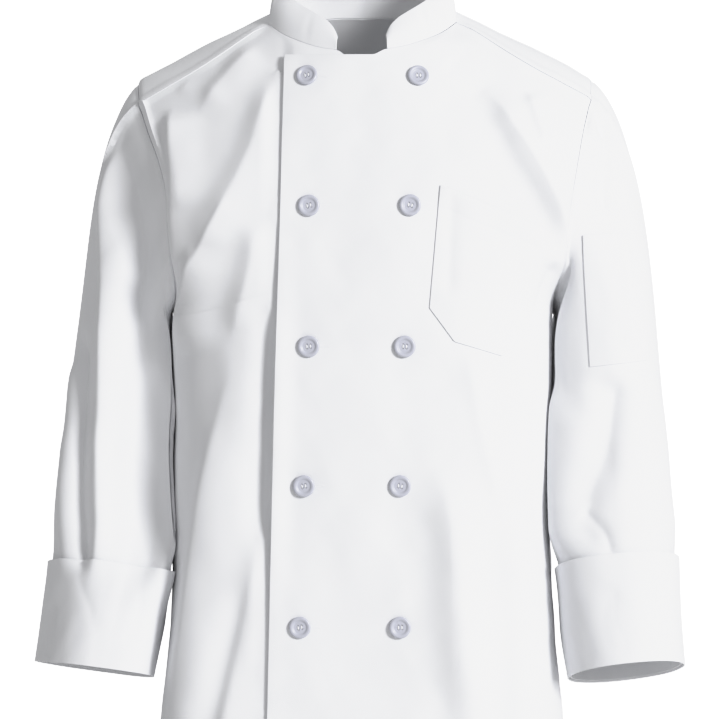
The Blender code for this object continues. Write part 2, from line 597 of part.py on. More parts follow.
def sleeve_form(name, loop):
    """Smooth sleeve: a cap of curves from the armhole to the first ring, then rings down."""
    sign = SIDES[name]
    loop = loop * (sign, 1, 1)
    turn = np.arange(len(loop)) / len(loop) * 2 * math.pi
    degrees = np.degrees(turn)
    out, back, down, leaving, entering = (table(CAP[name], column, degrees) for column in range(1, 6))
    heights = SLEEVES[name][:, 0]
    first = arm_ring(name, np.full(len(turn), heights[0]), turn)
    below = arm_ring(name, np.full(len(turn), heights[0] - ENTERS_OVER), turn)
    enter = (first - below) / np.linalg.norm(first - below, axis=1, keepdims=True)
    leave = np.stack((out, back, -down), axis=1)
    leave = leave / np.linalg.norm(leave, axis=1, keepdims=True)
    a, b = loop, loop + leave * leaving[:, None]
    c, d = first + enter * entering[:, None], first
    t = np.linspace(0, 1, CAP_ROWS + 1)[:, None, None]
    cap = (1 - t) ** 3 * a + 3 * t * (1 - t) ** 2 * b + 3 * t * t * (1 - t) * c + t ** 3 * d
    lower = np.stack([arm_ring(name, np.full(len(turn), height), turn)
                      for height in np.linspace(heights[0], heights[-1], ARM_RINGS + 1)[1:]])
    grid = np.concatenate((cap, lower))
    gap = half_width(grid[..., 1], grid[..., 2]) + ARM_CLEARANCE - grid[..., 0]
    clear = ease(np.arange(len(grid)) / CLEAR_ROWS)[:, None] * (grid[..., 2] < CAP_CLEAR_UNDER)
    grid[1:CAP_ROWS, :, 0] += (np.maximum(gap, 0) * clear)[1:CAP_ROWS]
    return grid * (sign, 1, 1)


def grid_normals(grid, sign=1.0):
    """Normals of a tube's grid from its neighbours round and along."""
    round_it = np.roll(grid, -1, axis=1) - np.roll(grid, 1, axis=1)
    along = np.gradient(grid, axis=0)
    out = np.cross(along, round_it) * sign
    return out / np.linalg.norm(out, axis=-1, keepdims=True)


def mitre(a, b):
    """Shared offset of two walls that meet with normals a and b, kept short at sharp folds."""
    return (a + b) / np.maximum(1 + (a * b).sum(-1, keepdims=True), SHARPEST_MITRE)


def set_armhole_offsets(name, front, back, offsets):
    """Gives the panels' armhole borders the offsets that they share with the sleeve."""
    column = -1 if name == "left" else 0
    front[1][SIDE_ROWS:, -1] = offsets[:ARM_ROWS + 1][::-1]
    back[1][SIDE_ROWS:, column] = np.concatenate((offsets[ARM_ROWS:], offsets[:1]))


def sleeve(name, front, back):
    """Outer points and offsets of a sleeve. The armhole's offsets go to the panels as well."""
    loop, loop_normals = armhole_loop(name, front, back)
    grid = sleeve_form(name, loop)
    out = grid_normals(grid, -SIDES[name])
    out[0] = mitre(loop_normals, out[0])
    set_armhole_offsets(name, front, back, out[0])
    turn = np.arange(grid.shape[1]) * 360 / grid.shape[1]
    around = np.broadcast_to(turn * MM_A_DEGREE, grid.shape[:2])
    rows = [(np.array(path) * (MM_A_DEGREE, 1), *sizes) for path, *sizes in SLEEVE_FOLDS[name]]
    lift = fold_height(rows, around, grid[..., 2] / MM, SLEEVE_FOLD_FADE)
    flat_half, grows_over = UNDER_ARM
    lift = np.where(lift > 0, lift * ease((np.abs(turn - 180) - flat_half) / grows_over), lift)
    calm = ease(np.arange(len(grid)) / CALM_ROWS)[:, None]
    return grid + out * (lift * calm)[..., None] * MM, out


# ---------------------------------------------------------------- walls
def drawn_in(grid, gap, borders):
    """Borders moved towards their neighbour row or column by a gap."""
    grid = grid.copy()
    edges = {"bottom": (0, 1, 0), "top": (-1, -2, 0), "start": (0, 1, 1), "end": (-1, -2, 1)}
    for name in borders:
        border, beside, axis = edges[name]
        rows = np.moveaxis(grid, axis, 0)
        away = rows[beside] - rows[border]
        rows[border] += gap * away / np.linalg.norm(away, axis=-1, keepdims=True)
    return grid


def wall(name, outer, out, borders=(), ring=False, gap=SEAM_GAP / 2, flip=False):
    """A closed wall between a grid and its copy moved in along the normals. A ring's last column
    meets its first."""
    inner = outer - out * CLOTH
    outer, inner = drawn_in(outer, gap, borders), drawn_in(inner, gap, borders)
    rows, columns = outer.shape[:2]
    points = np.concatenate((outer.reshape(-1, 3), inner.reshape(-1, 3)))
    index = np.arange(rows * columns).reshape(rows, columns)
    if ring:
        index = np.concatenate((index, index[:, :1]), axis=1)
    under = index + rows * columns
    skin = triangles(index, points)
    faces = [skin, skin[:, ::-1] + rows * columns]
    rims = [(index[0], under[0], 1), (index[-1], under[-1], -1)]
    if not ring:
        rims += [(index[:, 0], under[:, 0], -1), (index[:, -1], under[:, -1], 1)]
    for top, low, way in rims:
        rim = triangles(np.stack((top, low)), points)
        faces.append(rim[:, ::-1] if way > 0 else rim)
    faces = np.concatenate(faces)
    if flip:
        faces = faces[:, ::-1]
    return solid(name, points, faces)


def triangles(index, points):
    """Two triangles for each cell of a grid of point numbers, split along the shorter diagonal."""
    a, b, c, d = index[:-1, :-1], index[:-1, 1:], index[1:, 1:], index[1:, :-1]
    ac = np.linalg.norm(points[a] - points[c], axis=-1)
    bd = np.linalg.norm(points[b] - points[d], axis=-1)
    by_ac = (ac <= bd)[..., None]
    first = np.where(by_ac, np.stack((a, b, c), -1), np.stack((a, b, d), -1))
    second = np.where(by_ac, np.stack((a, c, d), -1), np.stack((b, c, d), -1))
    return np.concatenate((first.reshape(-1, 3), second.reshape(-1, 3)))


def solid(name, points, faces):
    """A smooth-shaded mesh object of triangles."""
    mesh = bpy.data.meshes.new(name)
    mesh.from_pydata(points.tolist(), [], faces.tolist())
    mesh.update()
    mesh.shade_smooth()
    mesh.set_sharp_from_angle(angle=math.radians(50))
    return placed(name, mesh)


def placed(name, mesh):
    """An object of the jacket with its own material."""
    thing = bpy.data.objects.new(name, mesh)
    bpy.data.collections["chef_jacket"].objects.link(thing)
    hard = name.startswith("button")
    finish = bpy.data.materials.new(name + "_finish")
    finish.use_nodes = True
    shader = finish.node_tree.nodes["Principled BSDF"]
    shader.inputs["Base Color"].default_value = GREY if hard else WHITE
    shader.inputs["Roughness"].default_value = 0.35 if hard else 0.85
    shader.inputs["Metallic"].default_value = 0.0
    mesh.materials.append(finish)
    return thing


# ---------------------------------------------------------------- pieces
def build_collar(fronts, back):
    """Stand collar on the neck's border: each point of its foot goes up and leans in."""
    neck = slice(LAP_CELLS, LAP_CELLS + NECK_CELLS + 1)
    right = fronts["right"][0][-1, neck]
    left = fronts["left"][0][-1, neck]
    middle = back[0][-1, SHOULDER_CELLS:SHOULDER_CELLS + 2 * NECK_CELLS + 1]
    foot = joined(right, middle, left[::-1])
    tangent = np.gradient(foot, axis=0)
    tangent[:, 2] = 0
    tangent /= np.linalg.norm(tangent, axis=1, keepdims=True)
    inward = np.stack((tangent[:, 1], -tangent[:, 0], np.zeros(len(foot))), axis=1)
    inward *= np.sign(-(foot * inward).sum(1, keepdims=True))
    steps = np.linalg.norm(np.diff(foot, axis=0), axis=1)
    walked = np.concatenate(([0.0], np.cumsum(steps)))
    along = np.minimum(walked, walked[-1] - walked)
    high = table(COLLAR_HEIGHTS, 1, along)
    lean = np.radians(table(COLLAR_LEAN, 1, along))
    up = np.cos(lean)[:, None] * (0, 0, 1) + np.sin(lean)[:, None] * inward
    out = np.sin(lean)[:, None] * np.array((0, 0, 1)) - np.cos(lean)[:, None] * inward
    share = np.linspace(0, 1, COLLAR_ROWS + 1)[:, None, None]
    outer = foot + up * (COLLAR_GAP + share * high[:, None])
    outer = outer + out * COLLAR_CROWN * np.sin(math.pi * share)
    return wall("collar", outer, out, flip=True)


def build_cuff(name, grid, out):
    """Turned-back cuff: the sleeve's lower points moved out, standing off a little at its top."""
    heights = SLEEVES[name][:, 0]
    height = np.linspace(CUFF_TOP[name], heights[-1], CUFF_ROWS + 1)
    rows = CAP_ROWS + (heights[0] - height) / (heights[0] - heights[-1]) * ARM_RINGS
    low = np.minimum(rows.astype(int), len(grid) - 2)
    share = (rows - low)[:, None, None]
    base = grid[low] * (1 - share) + grid[low + 1] * share
    away = out[low] * (1 - share) + out[low + 1] * share
    away /= np.linalg.norm(away, axis=-1, keepdims=True)
    proud = SEAM_GAP + CLOTH + CUFF_PROUD + CUFF_STANDS_OUT * np.linspace(1, 0, CUFF_ROWS + 1) ** 2
    outer = base + away * proud[:, None, None]
    gap = half_width(outer[..., 1], outer[..., 2]) + CUFF_CLEARANCE - np.abs(outer[..., 0])
    outer[..., 0] += np.sign(outer[..., 0]) * np.maximum(gap, 0)
    return wall("cuff_" + name, outer, away, ring=True, flip=name == "right")


def build_sleeve(name, grid, out):
    """The sleeve's wall, which ends inside the cuff."""
    grid = grid.copy()
    up = grid[-2] - grid[-1]
    grid[-1] += SLEEVE_STOPS_SHORT * up / np.linalg.norm(up, axis=-1, keepdims=True)
    return wall("sleeve_" + name, grid, out, borders=("bottom",), ring=True, gap=SEAM_GAP,
                flip=name == "right")


def build_pocket(name, outer, outline):
    """Patch pocket: the part of a panel's outer face inside an outline in the front view, moved
    out by the seam's gap and given its cloth."""
    rows, columns = outer.shape[:2]
    index = np.arange(rows * columns).reshape(rows, columns)
    faces = triangles(index, outer.reshape(-1, 3))
    thing = solid(name, outer.reshape(-1, 3), faces)
    work = bmesh.new()
    work.from_mesh(thing.data)
    corners = np.array(outline)
    planes = [(a, b - a) for a, b in zip(corners, np.roll(corners, -1, axis=0))]
    for point, run in planes:
        everything = work.verts[:] + work.edges[:] + work.faces[:]
        bmesh.ops.bisect_plane(work, geom=everything, dist=1e-6, plane_co=(point[0], 0, point[1]),
                               plane_no=(-run[1], 0, run[0]), clear_outer=True)
    behind = [vertex for vertex in work.verts if vertex.co.y > 0]
    bmesh.ops.delete(work, geom=behind, context="VERTS")
    bmesh.ops.dissolve_degenerate(work, edges=work.edges, dist=SMALLEST_EDGE)
    work.to_mesh(thing.data)
    work.free()
    lifted = thing.modifiers.new("seam_gap", "DISPLACE")
    lifted.mid_level = 0
    lifted.strength = SEAM_GAP
    thick = thing.modifiers.new("cloth", "SOLIDIFY")
    thick.thickness = POCKET_CLOTH
    thick.offset = 1
    return thing


def build_buttons(outer, out):
    """Turned buttons on the over front, each level with the cloth under it."""
    spots = outer.reshape(-1, 3)
    directions = out.reshape(-1, 3)
    number = 0
    for height, *places in BUTTON_ROWS:
        for across in places:
            number += 1
            away = np.hypot(spots[:, 0] - across, spots[:, 2] - height)
            under = away < BUTTON_RESTS_ON
            normal = directions[under].mean(axis=0)
            normal /= np.linalg.norm(normal)
            middle = torso(*angles(across, height))
            level = ((spots[under] - middle) @ normal).max()
            build_button(f"button_{number}", middle + normal * (level + SEAM_GAP), normal)


def build_button(name, foot, normal):
    """A turned button: its profile carried round the axis."""
    mesh = bpy.data.meshes.new(name)
    profile = [(out, 0, up) for out, up in BUTTON_PROFILE]
    mesh.from_pydata(profile, [(i, i + 1) for i in range(len(profile) - 1)], [])
    thing = placed(name, mesh)
    turned = thing.modifiers.new("turned", "SCREW")
    turned.steps = turned.render_steps = BUTTON_STEPS
    turned.use_merge_vertices = True
    turned.merge_threshold = 0.0001
    thing.location = foot
    thing.rotation_mode = "QUATERNION"
    thing.rotation_quaternion = Vector(normal).to_track_quat("Z", "Y")
    return thing


def main():
    for thing in list(bpy.data.objects):
        bpy.data.objects.remove(thing)
    jacket = bpy.data.collections.new("chef_jacket")
    bpy.context.scene.collection.children.link(jacket)

    fronts = {"left": over_front(), "right": under_front()}
    back = back_panel()
    for name in SIDES:
        grid, out = sleeve(name, fronts[name], back)
        build_sleeve(name, grid, out)
        build_cuff(name, grid, out)
        if name == "left":
            build_pocket("sleeve_pocket", np.concatenate((grid, grid[:, :1]), axis=1), SLEEVE_POCKET)
    wall("front_left", *fronts["left"], borders=("top", "end"))
    wall("front_right", *fronts["right"], borders=("top", "end"), flip=True)
    wall("back", *back, borders=("top", "start", "end"), flip=True)
    build_collar(fronts, back)
    build_pocket("chest_pocket", fronts["left"][0], CHEST_POCKET)
    build_buttons(*fronts["left"])


main()
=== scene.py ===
"""Looks of a double-breasted chef jacket in its worn form: white twill, sewing and buttons.

Metres, +Z up, the front faces -Y and +X is the wearer's left. The jacket's form is the one of its
solids: a smooth torso form with a side angle and a drape angle, panels as grids between their own
seams, sleeves as curves from the armholes into rings. Here every grid is finer, carries more and
sharper folds, and gets sewing.
"""

import math

import bpy
import numpy as np
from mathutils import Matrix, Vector


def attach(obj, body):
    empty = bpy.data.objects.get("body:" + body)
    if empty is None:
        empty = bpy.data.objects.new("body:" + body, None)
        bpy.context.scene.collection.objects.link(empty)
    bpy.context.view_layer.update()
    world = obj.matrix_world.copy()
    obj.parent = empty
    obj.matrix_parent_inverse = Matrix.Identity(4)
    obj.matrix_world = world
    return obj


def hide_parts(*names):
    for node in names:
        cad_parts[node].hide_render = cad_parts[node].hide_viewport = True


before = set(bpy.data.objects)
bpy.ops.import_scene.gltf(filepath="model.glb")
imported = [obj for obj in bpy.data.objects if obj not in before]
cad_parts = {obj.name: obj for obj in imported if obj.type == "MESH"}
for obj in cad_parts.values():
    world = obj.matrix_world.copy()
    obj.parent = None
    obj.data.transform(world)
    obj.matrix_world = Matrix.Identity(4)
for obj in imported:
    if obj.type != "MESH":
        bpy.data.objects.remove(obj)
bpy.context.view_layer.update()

# ---------------------------------------------------------------- sizes of the cut
MM = 0.001
CLOTH = 0.0016  # wall of one cloth layer
SEAM_GAP = 0.0001  # between pieces
LAP_GAP = 0.0012  # between the two fronts where one laps over the other
LENGTH_BELOW_NECK = 0.765  # hem under the shoulder point at the neck
ARMPIT = -0.305  # height of the side seam's top

RIDGE_TOP = 0.0521  # shoulder ridge: height = top - slope * hypot(x, round) + tilt * x
RIDGE_SLOPE = 0.54
RIDGE_ROUND = 0.06
RIDGE_TILT = 0.012  # the right shoulder hangs a little lower
FRONT_ROUND = 0.200  # height over which the front rounds up to the ridge
BACK_ROUND = 0.140

TORSO = np.array((
    # height, half width, front depth, back depth, power: 2 is an ellipse, more is squarer
    (-0.765, 0.2040, 0.127, 0.130, 3.8),
    (-0.700, 0.1975, 0.126, 0.124, 3.8),
    (-0.600, 0.1905, 0.126, 0.115, 3.6),
    (-0.500, 0.1870, 0.127, 0.109, 3.4),
    (-0.400, 0.1865, 0.129, 0.111, 3.1),
    (-0.305, 0.1880, 0.129, 0.119, 2.9),
    (-0.250, 0.2220, 0.127, 0.123, 2.8),
    (-0.180, 0.2560, 0.122, 0.122, 2.6),
    (-0.100, 0.2850, 0.110, 0.114, 2.4),
    (0.030, 0.3000, 0.108, 0.100, 2.3),
))

# Armholes in the front view: across from the middle, height. The first point is on the forward
# shoulder seam and the last on the side seam.
ARMHOLE_FRONT = {
    "right": ((0.2215, -0.0990), (0.2130, -0.1250), (0.2020, -0.1550), (0.1945, -0.1850),
              (0.1925, -0.2200), (0.1900, -0.2550), (0.1860, -0.2850), (0.1880, ARMPIT)),
    "left": ((0.2260, -0.0980), (0.2190, -0.1250), (0.2120, -0.1600), (0.2060, -0.1950),
             (0.2010, -0.2350), (0.1965, -0.2700), (0.1900, -0.2920), (0.1880, ARMPIT)),
}
ARMHOLE_BACK = {
    "right": ((0.2245, -0.0980), (0.2160, -0.1350), (0.2080, -0.1800), (0.2030, -0.2200),
              (0.1985, -0.2600), (0.1920, -0.2880), (0.1880, ARMPIT)),
    "left": ((0.2275, -0.0980), (0.2190, -0.1350), (0.2110, -0.1800), (0.2060, -0.2200),
             (0.2000, -0.2600), (0.1930, -0.2880), (0.1880, ARMPIT)),
}
ARMHOLE_ON_RIDGE = {"right": 0.2260, "left": 0.2290}

SHOULDER_POINT = (0.0930, -0.0210)  # forward shoulder seam at the neck: across, height
SHOULDER_SAG = 0.0035  # how far the seam's middle hangs under a straight line
NECKLINE = ((0.0245, -0.0525), (0.0405, -0.0495), (0.0590, -0.0430), (0.0790, -0.0325),
            SHOULDER_POINT)  # from the collar's end to the shoulder seam
BACK_NECK = ((0.0895, 0.0), (0.0730, 19.0), (0.0420, 31.5), (0.0, 36.0))  # across, drape angle
CLOSURE_TOP = -0.0010  # middle of the closure, which drifts towards the wearer's right
CLOSURE_HEM = -0.0133
LAP_TOP = 0.0747  # from the closure's middle to the lapping edge
LAP_HEM = 0.0804
TOP_EDGE = {"right": -0.0610, "left": -0.0580}  # straight top edges, the under one lower
# The over front rises off the form over these widths: before the under front's edge, under the
# neck's seam, and past the middle.
LAP_RISE = 0.050
LAP_RISE_STARTS = 0.065
NECK_RISE_TOP = -0.026
NECK_RISE = 0.022
MIDDLE_RISE_STARTS = 0.045
MIDDLE_RISE = 0.020
RIDGE_ENDS_BEFORE = 0.020  # the under front's ridges end this far before the over front's edge
RIDGE_ENDS_OVER = 0.018
HOLLOW_ENDS_BEFORE = 0.004
HOLLOW_ENDS_OVER = 0.014

# Cells of the grids: the solids' own numbers times a finer count across and along.
ACROSS_FINER = 6
ALONG_FINER = 8
SHOULDER_CELLS = 8 * ACROSS_FINER
NECK_CELLS = 5 * ACROSS_FINER
LAP_CELLS = 7 * ACROSS_FINER
SIDE_ROWS = 17 * ALONG_FINER  # under the armpit
ARM_ROWS = 12 * ALONG_FINER  # from the armpit to the shoulder seam
CAP_ROWS = 8 * ALONG_FINER  # from the armhole to a sleeve's first ring
ARM_RINGS = 13 * ALONG_FINER  # from the first ring to the cuff's foot
HEM_BREAKS = (0.085, 0.003)  # across at the hem under the shoulder point and the collar's end
FIRST_HALF_WIDTH = 0.2  # guess of a point's half width
WIDTH_PASSES = 14  # until its width and height agree
FINE = 160  # stretches in a run before it is stopped at even distances
EVEN_FINER = 40  # places tried on a curve for each of its given points
SPOTS_THIN = 3  # every third row and column is tried first when a spot is looked up
SPOT_PASSES = 6
SPOT_STEP = 8  # rows or columns that a pass moves by at most, before it is halved
CALM_CELLS = 1.5  # large folds die away over this many of the solids' cells

# Sleeve rings from the upper arm to the cuff's foot: height and place of the ring's middle, its
# half width and half depth, how far it leans out and forward in degrees, the powers that make
# its inner and outer front quarters squarer, how far its inner front comes forward, and how much
# wider its inner half is made before the torso stops it.
SLEEVES = {
    "right": np.array((
        # height, across, forward, half width, half depth, leans out, leans forward, inner power,
        # outer power, skew, reach
        (-0.340, 0.2337, -0.013, 0.0540, 0.062, 7.0, -4.0, 2.8, 2.1, 0.030, 1.12),
        (-0.400, 0.2388, -0.016, 0.0566, 0.060, 7.0, 1.0, 3.2, 2.9, 0.066, 1.30),
        (-0.460, 0.2441, -0.010, 0.0578, 0.060, 6.5, 9.0, 3.2, 3.2, 0.066, 1.30),
        (-0.520, 0.2438, 0.006, 0.0630, 0.060, 6.5, 12.0, 3.0, 3.0, 0.066, 1.28),
        (-0.560, 0.2484, 0.018, 0.0600, 0.060, 7.0, 11.0, 3.0, 2.2, 0.056, 1.14),
        (-0.610, 0.2570, 0.034, 0.0580, 0.060, 7.5, 9.0, 2.8, 1.7, 0.020, 1.02),
        (-0.660, 0.2645, 0.046, 0.0570, 0.057, 7.5, 8.0, 2.8, 1.6, 0.012, 1.00),
    )),
    "left": np.array((
        (-0.340, 0.2365, 0.008, 0.0580, 0.076, 7.0, 5.0, 2.3, 2.0, 0.000, 1.16),
        (-0.400, 0.2385, 0.016, 0.0600, 0.075, 6.0, 8.0, 2.4, 2.0, 0.000, 1.12),
        (-0.460, 0.2410, 0.028, 0.0627, 0.071, 5.5, 11.0, 2.6, 2.0, 0.000, 1.08),
        (-0.520, 0.2455, 0.042, 0.0630, 0.066, 5.5, 13.0, 3.2, 2.0, 0.000, 1.06),
        (-0.560, 0.2500, 0.052, 0.0575, 0.063, 5.5, 13.5, 3.0, 2.0, 0.000, 1.00),
        (-0.610, 0.2525, 0.064, 0.0570, 0.060, 5.5, 14.0, 2.7, 2.0, 0.000, 1.00),
        (-0.660, 0.2578, 0.076, 0.0550, 0.058, 6.0, 14.0, 2.3, 2.0, 0.000, 1.00),
    )),
}
ENTERS_OVER = 0.02  # stretch of arm that gives the direction at the first ring
# How a sleeve leaves the armhole and enters its first ring, by the quarter turns from the top
# round the front: out, back and down are the direction it leaves in.
CAP = {
    "right": np.array((
        # turn, out, back, down, leaving reach, entering reach
        (0, 0.82, 0.00, 0.57, 0.054, 0.125),
        (60, 0.62, 0.34, 0.66, 0.046, 0.085),
        (90, 0.50, 0.50, 0.66, 0.042, 0.060),
        (130, 0.58, 0.40, 0.60, 0.030, 0.040),
        (180, 0.74, 0.00, 0.67, 0.009, 0.020),
        (270, 0.64, -0.20, 0.74, 0.040, 0.060),
        (360, 0.82, 0.00, 0.57, 0.054, 0.125),
    )),
    "left": np.array((
        (0, 0.82, 0.00, 0.57, 0.054, 0.125),
        (90, 0.62, 0.22, 0.75, 0.035, 0.060),
        (135, 0.62, 0.16, 0.76, 0.016, 0.050),
        (180, 0.60, 0.00, 0.80, 0.009, 0.024),
        (270, 0.64, -0.20, 0.74, 0.040, 0.060),
        (360, 0.82, 0.00, 0.57, 0.054, 0.125),
    )),
}
ARM_CLEARANCE = 0.0028  # between a sleeve and the torso
CUFF_CLEARANCE = 0.0020
UNDER_CUFF = 0.0038  # how much more a sleeve keeps clear where its cuff covers it
UNDER_CUFF_OVER = 0.025  # the height over which that grows
CLEARANCE_ROUND = 0.0012  # how softly a sleeve bends away from the torso
CLEAR_UNDER = ARMPIT + 0.08  # a sleeve's rings keep clear of the torso below this height
CAP_CLEAR_UNDER = ARMPIT + 0.02  # and its cap below this one, from the first rows on
CLEAR_ROWS = 3 * ALONG_FINER
CALM_ROWS = 4 * ALONG_FINER  # large folds grow over these rows below the armhole
SKEW_STARTS = 0.28  # part of the half width from which the inner front comes forward
UNDER_ARM = (18, 16)  # degrees each side of the under-arm with no ridges, then over which they grow
SHARPEST_MITRE = 0.45  # a seam's offset is at most about twice the cloth
MM_A_DEGREE = 1.15  # cloth round the arm to a degree of turn
MITRE_REACH = 0.007  # length over which a wall's offsets turn into the shared ones

CUFF_TOP = {"right": -0.5640, "left": -0.5560}
CUFF_ROWS = 4 * ALONG_FINER
CUFF_PROUD = 0.0010  # between the cuff and the sleeve all the way, over the seam's gap
CUFF_STANDS_OUT = 0.0020  # how much more its turned-back top stands off
DEEPEST_DENT = 0.8  # share of the room under a cuff that a dent may take
SLEEVE_STOPS_SHORT = 0.002  # sleeve's end above the cuff's foot, inside it
SLEEVE_SEAM_OPEN = {"right": 0.0009, "left": 0.0004}  # how far a pulled armhole seam stands open

COLLAR_HEIGHTS = np.array((
    # along from the front end, height
    (0.000, 0.015), (0.004, 0.023), (0.009, 0.0285), (0.018, 0.0335), (0.034, 0.0365),
    (0.070, 0.0395), (0.130, 0.041),
))
COLLAR_LEAN = np.array((
    # along from the front end, how far it leans in, degrees
    (0.0, 24.0), (0.04, 24.0), (0.10, 12.0), (0.16, 10.0), (0.22, 12.0),
))
COLLAR_ROWS = 16
COLLAR_CROWN = 0.0020  # how far its middle bulges
COLLAR_GAP = 0.00005  # between its foot and the panels

POCKETS = {
    # in the front view, across and height: its mouth's two corners, then the run round its foot
    "chest_pocket": (((0.0745, -0.1865), (0.1735, -0.2270)),
                     ((0.0640, -0.3050), (0.0880, -0.3375), (0.1352, -0.3515), (0.1540, -0.3390),
                      (0.1690, -0.3230))),
    "sleeve_pocket": (((0.2145, -0.2330), (0.2690, -0.2300)),
                      ((0.2215, -0.3620), (0.2790, -0.3555))),
}
POCKET_CLOTH = 0.0012
POCKET_CELL = 0.0017
POCKET_MOUTH = (1.3, 0.022)  # how far its mouth stands off in mm, and over what height in m
POCKET_HEM = (0.35, 0.018, 0.002)  # the turned hem: proud in mm, its height, its fall
POCKET_WAVES = 0.5  # share of the usual unevenness that a pocket adds

BUTTON_ROWS = (
    # height, across on the lapping side, across on the other side
    (-0.0800, -0.0535, 0.0536),
    (-0.2065, -0.0517, 0.0455),
    (-0.3420, -0.0517, 0.0403),
    (-0.4760, -0.0563, 0.0359),
    (-0.6120, -0.0601, 0.0359),
)
BUTTON_RADIUS = 0.0105
BUTTON_SECTION = np.array((
    # row, out from the middle, up from the back: top, recess, rim, edge, back
    (0.0, 0.0000, 0.00215), (4.0, 0.0030, 0.00210), (8.0, 0.0056, 0.00215), (12.0, 0.0066, 0.00265),
    (15.0, 0.0076, 0.00330), (18.0, 0.0088, 0.00345), (22.0, 0.0100, 0.00290),
    (25.0, 0.0105, 0.00190), (28.0, 0.0100, 0.00085), (31.0, 0.0084, 0.00010),
    (36.0, 0.0000, 0.00000),
))
BUTTON_RINGS = 49
BUTTON_AROUND = 56
BUTTON_TOP = 10  # row of the section inside which its holes dip
BUTTON_TURNS = (4, 0.3)  # seed, and how far a button is turned at most, radians
UNDER_BUTTON = 1.1  # cloth within this many radii carries a button
HOLE = (0.00165, 0.0008, 0.0014)  # from the middle both ways, radius, depth
BUTTON_THREAD = 0.00042
STRANDS_BESIDE = (-0.64, 0.64)  # two strands through a pair of holes, in radii of the thread
STRAND_REACH = 1.25  # how far they run, in shares of the hole's place
STRAND_RISES = 0.6  # how high over the button's middle, in radii of the thread
BUTTONHOLE = (-0.006, 0.0185, 0.0011, 0.00062)  # from and to beside a button, half width, pitch
# In half widths: where a bar of thread starts and ends, and how long one at the ends is, and the
# part of the pitch between those
BUTTONHOLE_BARS = (0.15, 1.2, 1.5, 0.6)
BUTTONHOLE_THREAD = 0.00036

STITCH = 0.0021  # length of a stitch
STITCH_PITCH = 0.0030
THREAD = 0.00026  # radius of the thread as it lies
STITCH_SINKS = 0.35  # share of the thread's radius that is pulled into the cloth
THREAD_SHAPE = (
    # share of a stitch's length, share of the radius, share sunk
    (0.0, 0.25, 1.3), (0.2, 1.0, 0.0), (0.8, 1.0, 0.0), (1.0, 0.25, 1.3),
)
# From an edge to its line of stitches
HEM_STITCHES = 0.020
EDGE_STITCHES = 0.006
SIDE_STITCHES = 0.004
SHOULDER_STITCHES = (0.0022, 0.0058)  # two lines
COLLAR_STITCHES = 0.005
CUFF_STITCHES = 0.0055
POCKET_STITCHES = 0.0022

RIM_ROUND = 0.0006  # radius of a wall's cut or folded edge
RIM_ANGLE = 55  # edges sharper than this are rounded, degrees

SIDES = {"right": -1.0, "left": 1.0}

# ---------------------------------------------------------------- folds
# A fold is a path in the front view, across and height in millimetres, from its top down. Height
# is how far it stands out, below zero is a hollow. Its banks are the widths towards the viewer's
# left and right, and crease is the radius its line is rounded with: 0 gives soft round banks.
FOLD_STRETCHES = 24
FOLD_FADE = 0.22  # share of a fold's length over which each end dies away
SLEEVE_FOLD_FADE = 0.13  # and of a sleeve's
LARGE_FRONT_FOLDS = {
    "right": (
        # path, height, left bank, right bank, crease
        (((-80, -72), (-96, -112), (-108, -152), (-128, -192), (-148, -229), (-168, -264)),
         4.5, 15, 30, 0),
        (((-104, -215), (-108, -259), (-114, -290), (-124, -330)), 3.0, 13, 22, 0),
        (((-161, -240), (-170, -285), (-174, -320), (-172, -355)), 8.0, 9, 28, 0),
        (((-90, -285), (-91, -340), (-93, -400), (-95, -470), (-98, -545)), -7.0, 14, 18, 0),
        (((-138, -400), (-146, -450), (-155, -505), (-163, -568), (-169, -620), (-174, -660),
          (-178, -700), (-181, -765)), 9.0, 12, 34, 0),
        (((-106, -560), (-122, -610), (-134, -655), (-146, -700), (-158, -765)), -5.0, 14, 12, 0),
        (((-186, -104), (-187, -140), (-186, -172), (-182, -212)), 5.0, 9, 24, 0),
        (((-106, -46), (-130, -72), (-156, -106)), 3.0, 9, 20, 0),
    ),
    "left": (
        (((76, -440), (84, -490), (90, -540), (93, -600), (96, -640), (106, -690), (120, -765)),
         9.5, 22, 30, 0),
        (((118, -98), (140, -130), (156, -158), (176, -190), (192, -222), (202, -250)),
         6.0, 9, 20, 0),
        (((-20, -480), (5, -540), (35, -620)), 2.5, 30, 26, 0),
        (((140, -480), (150, -600), (156, -765)), 6.5, 16, 26, 0),
    ),
}
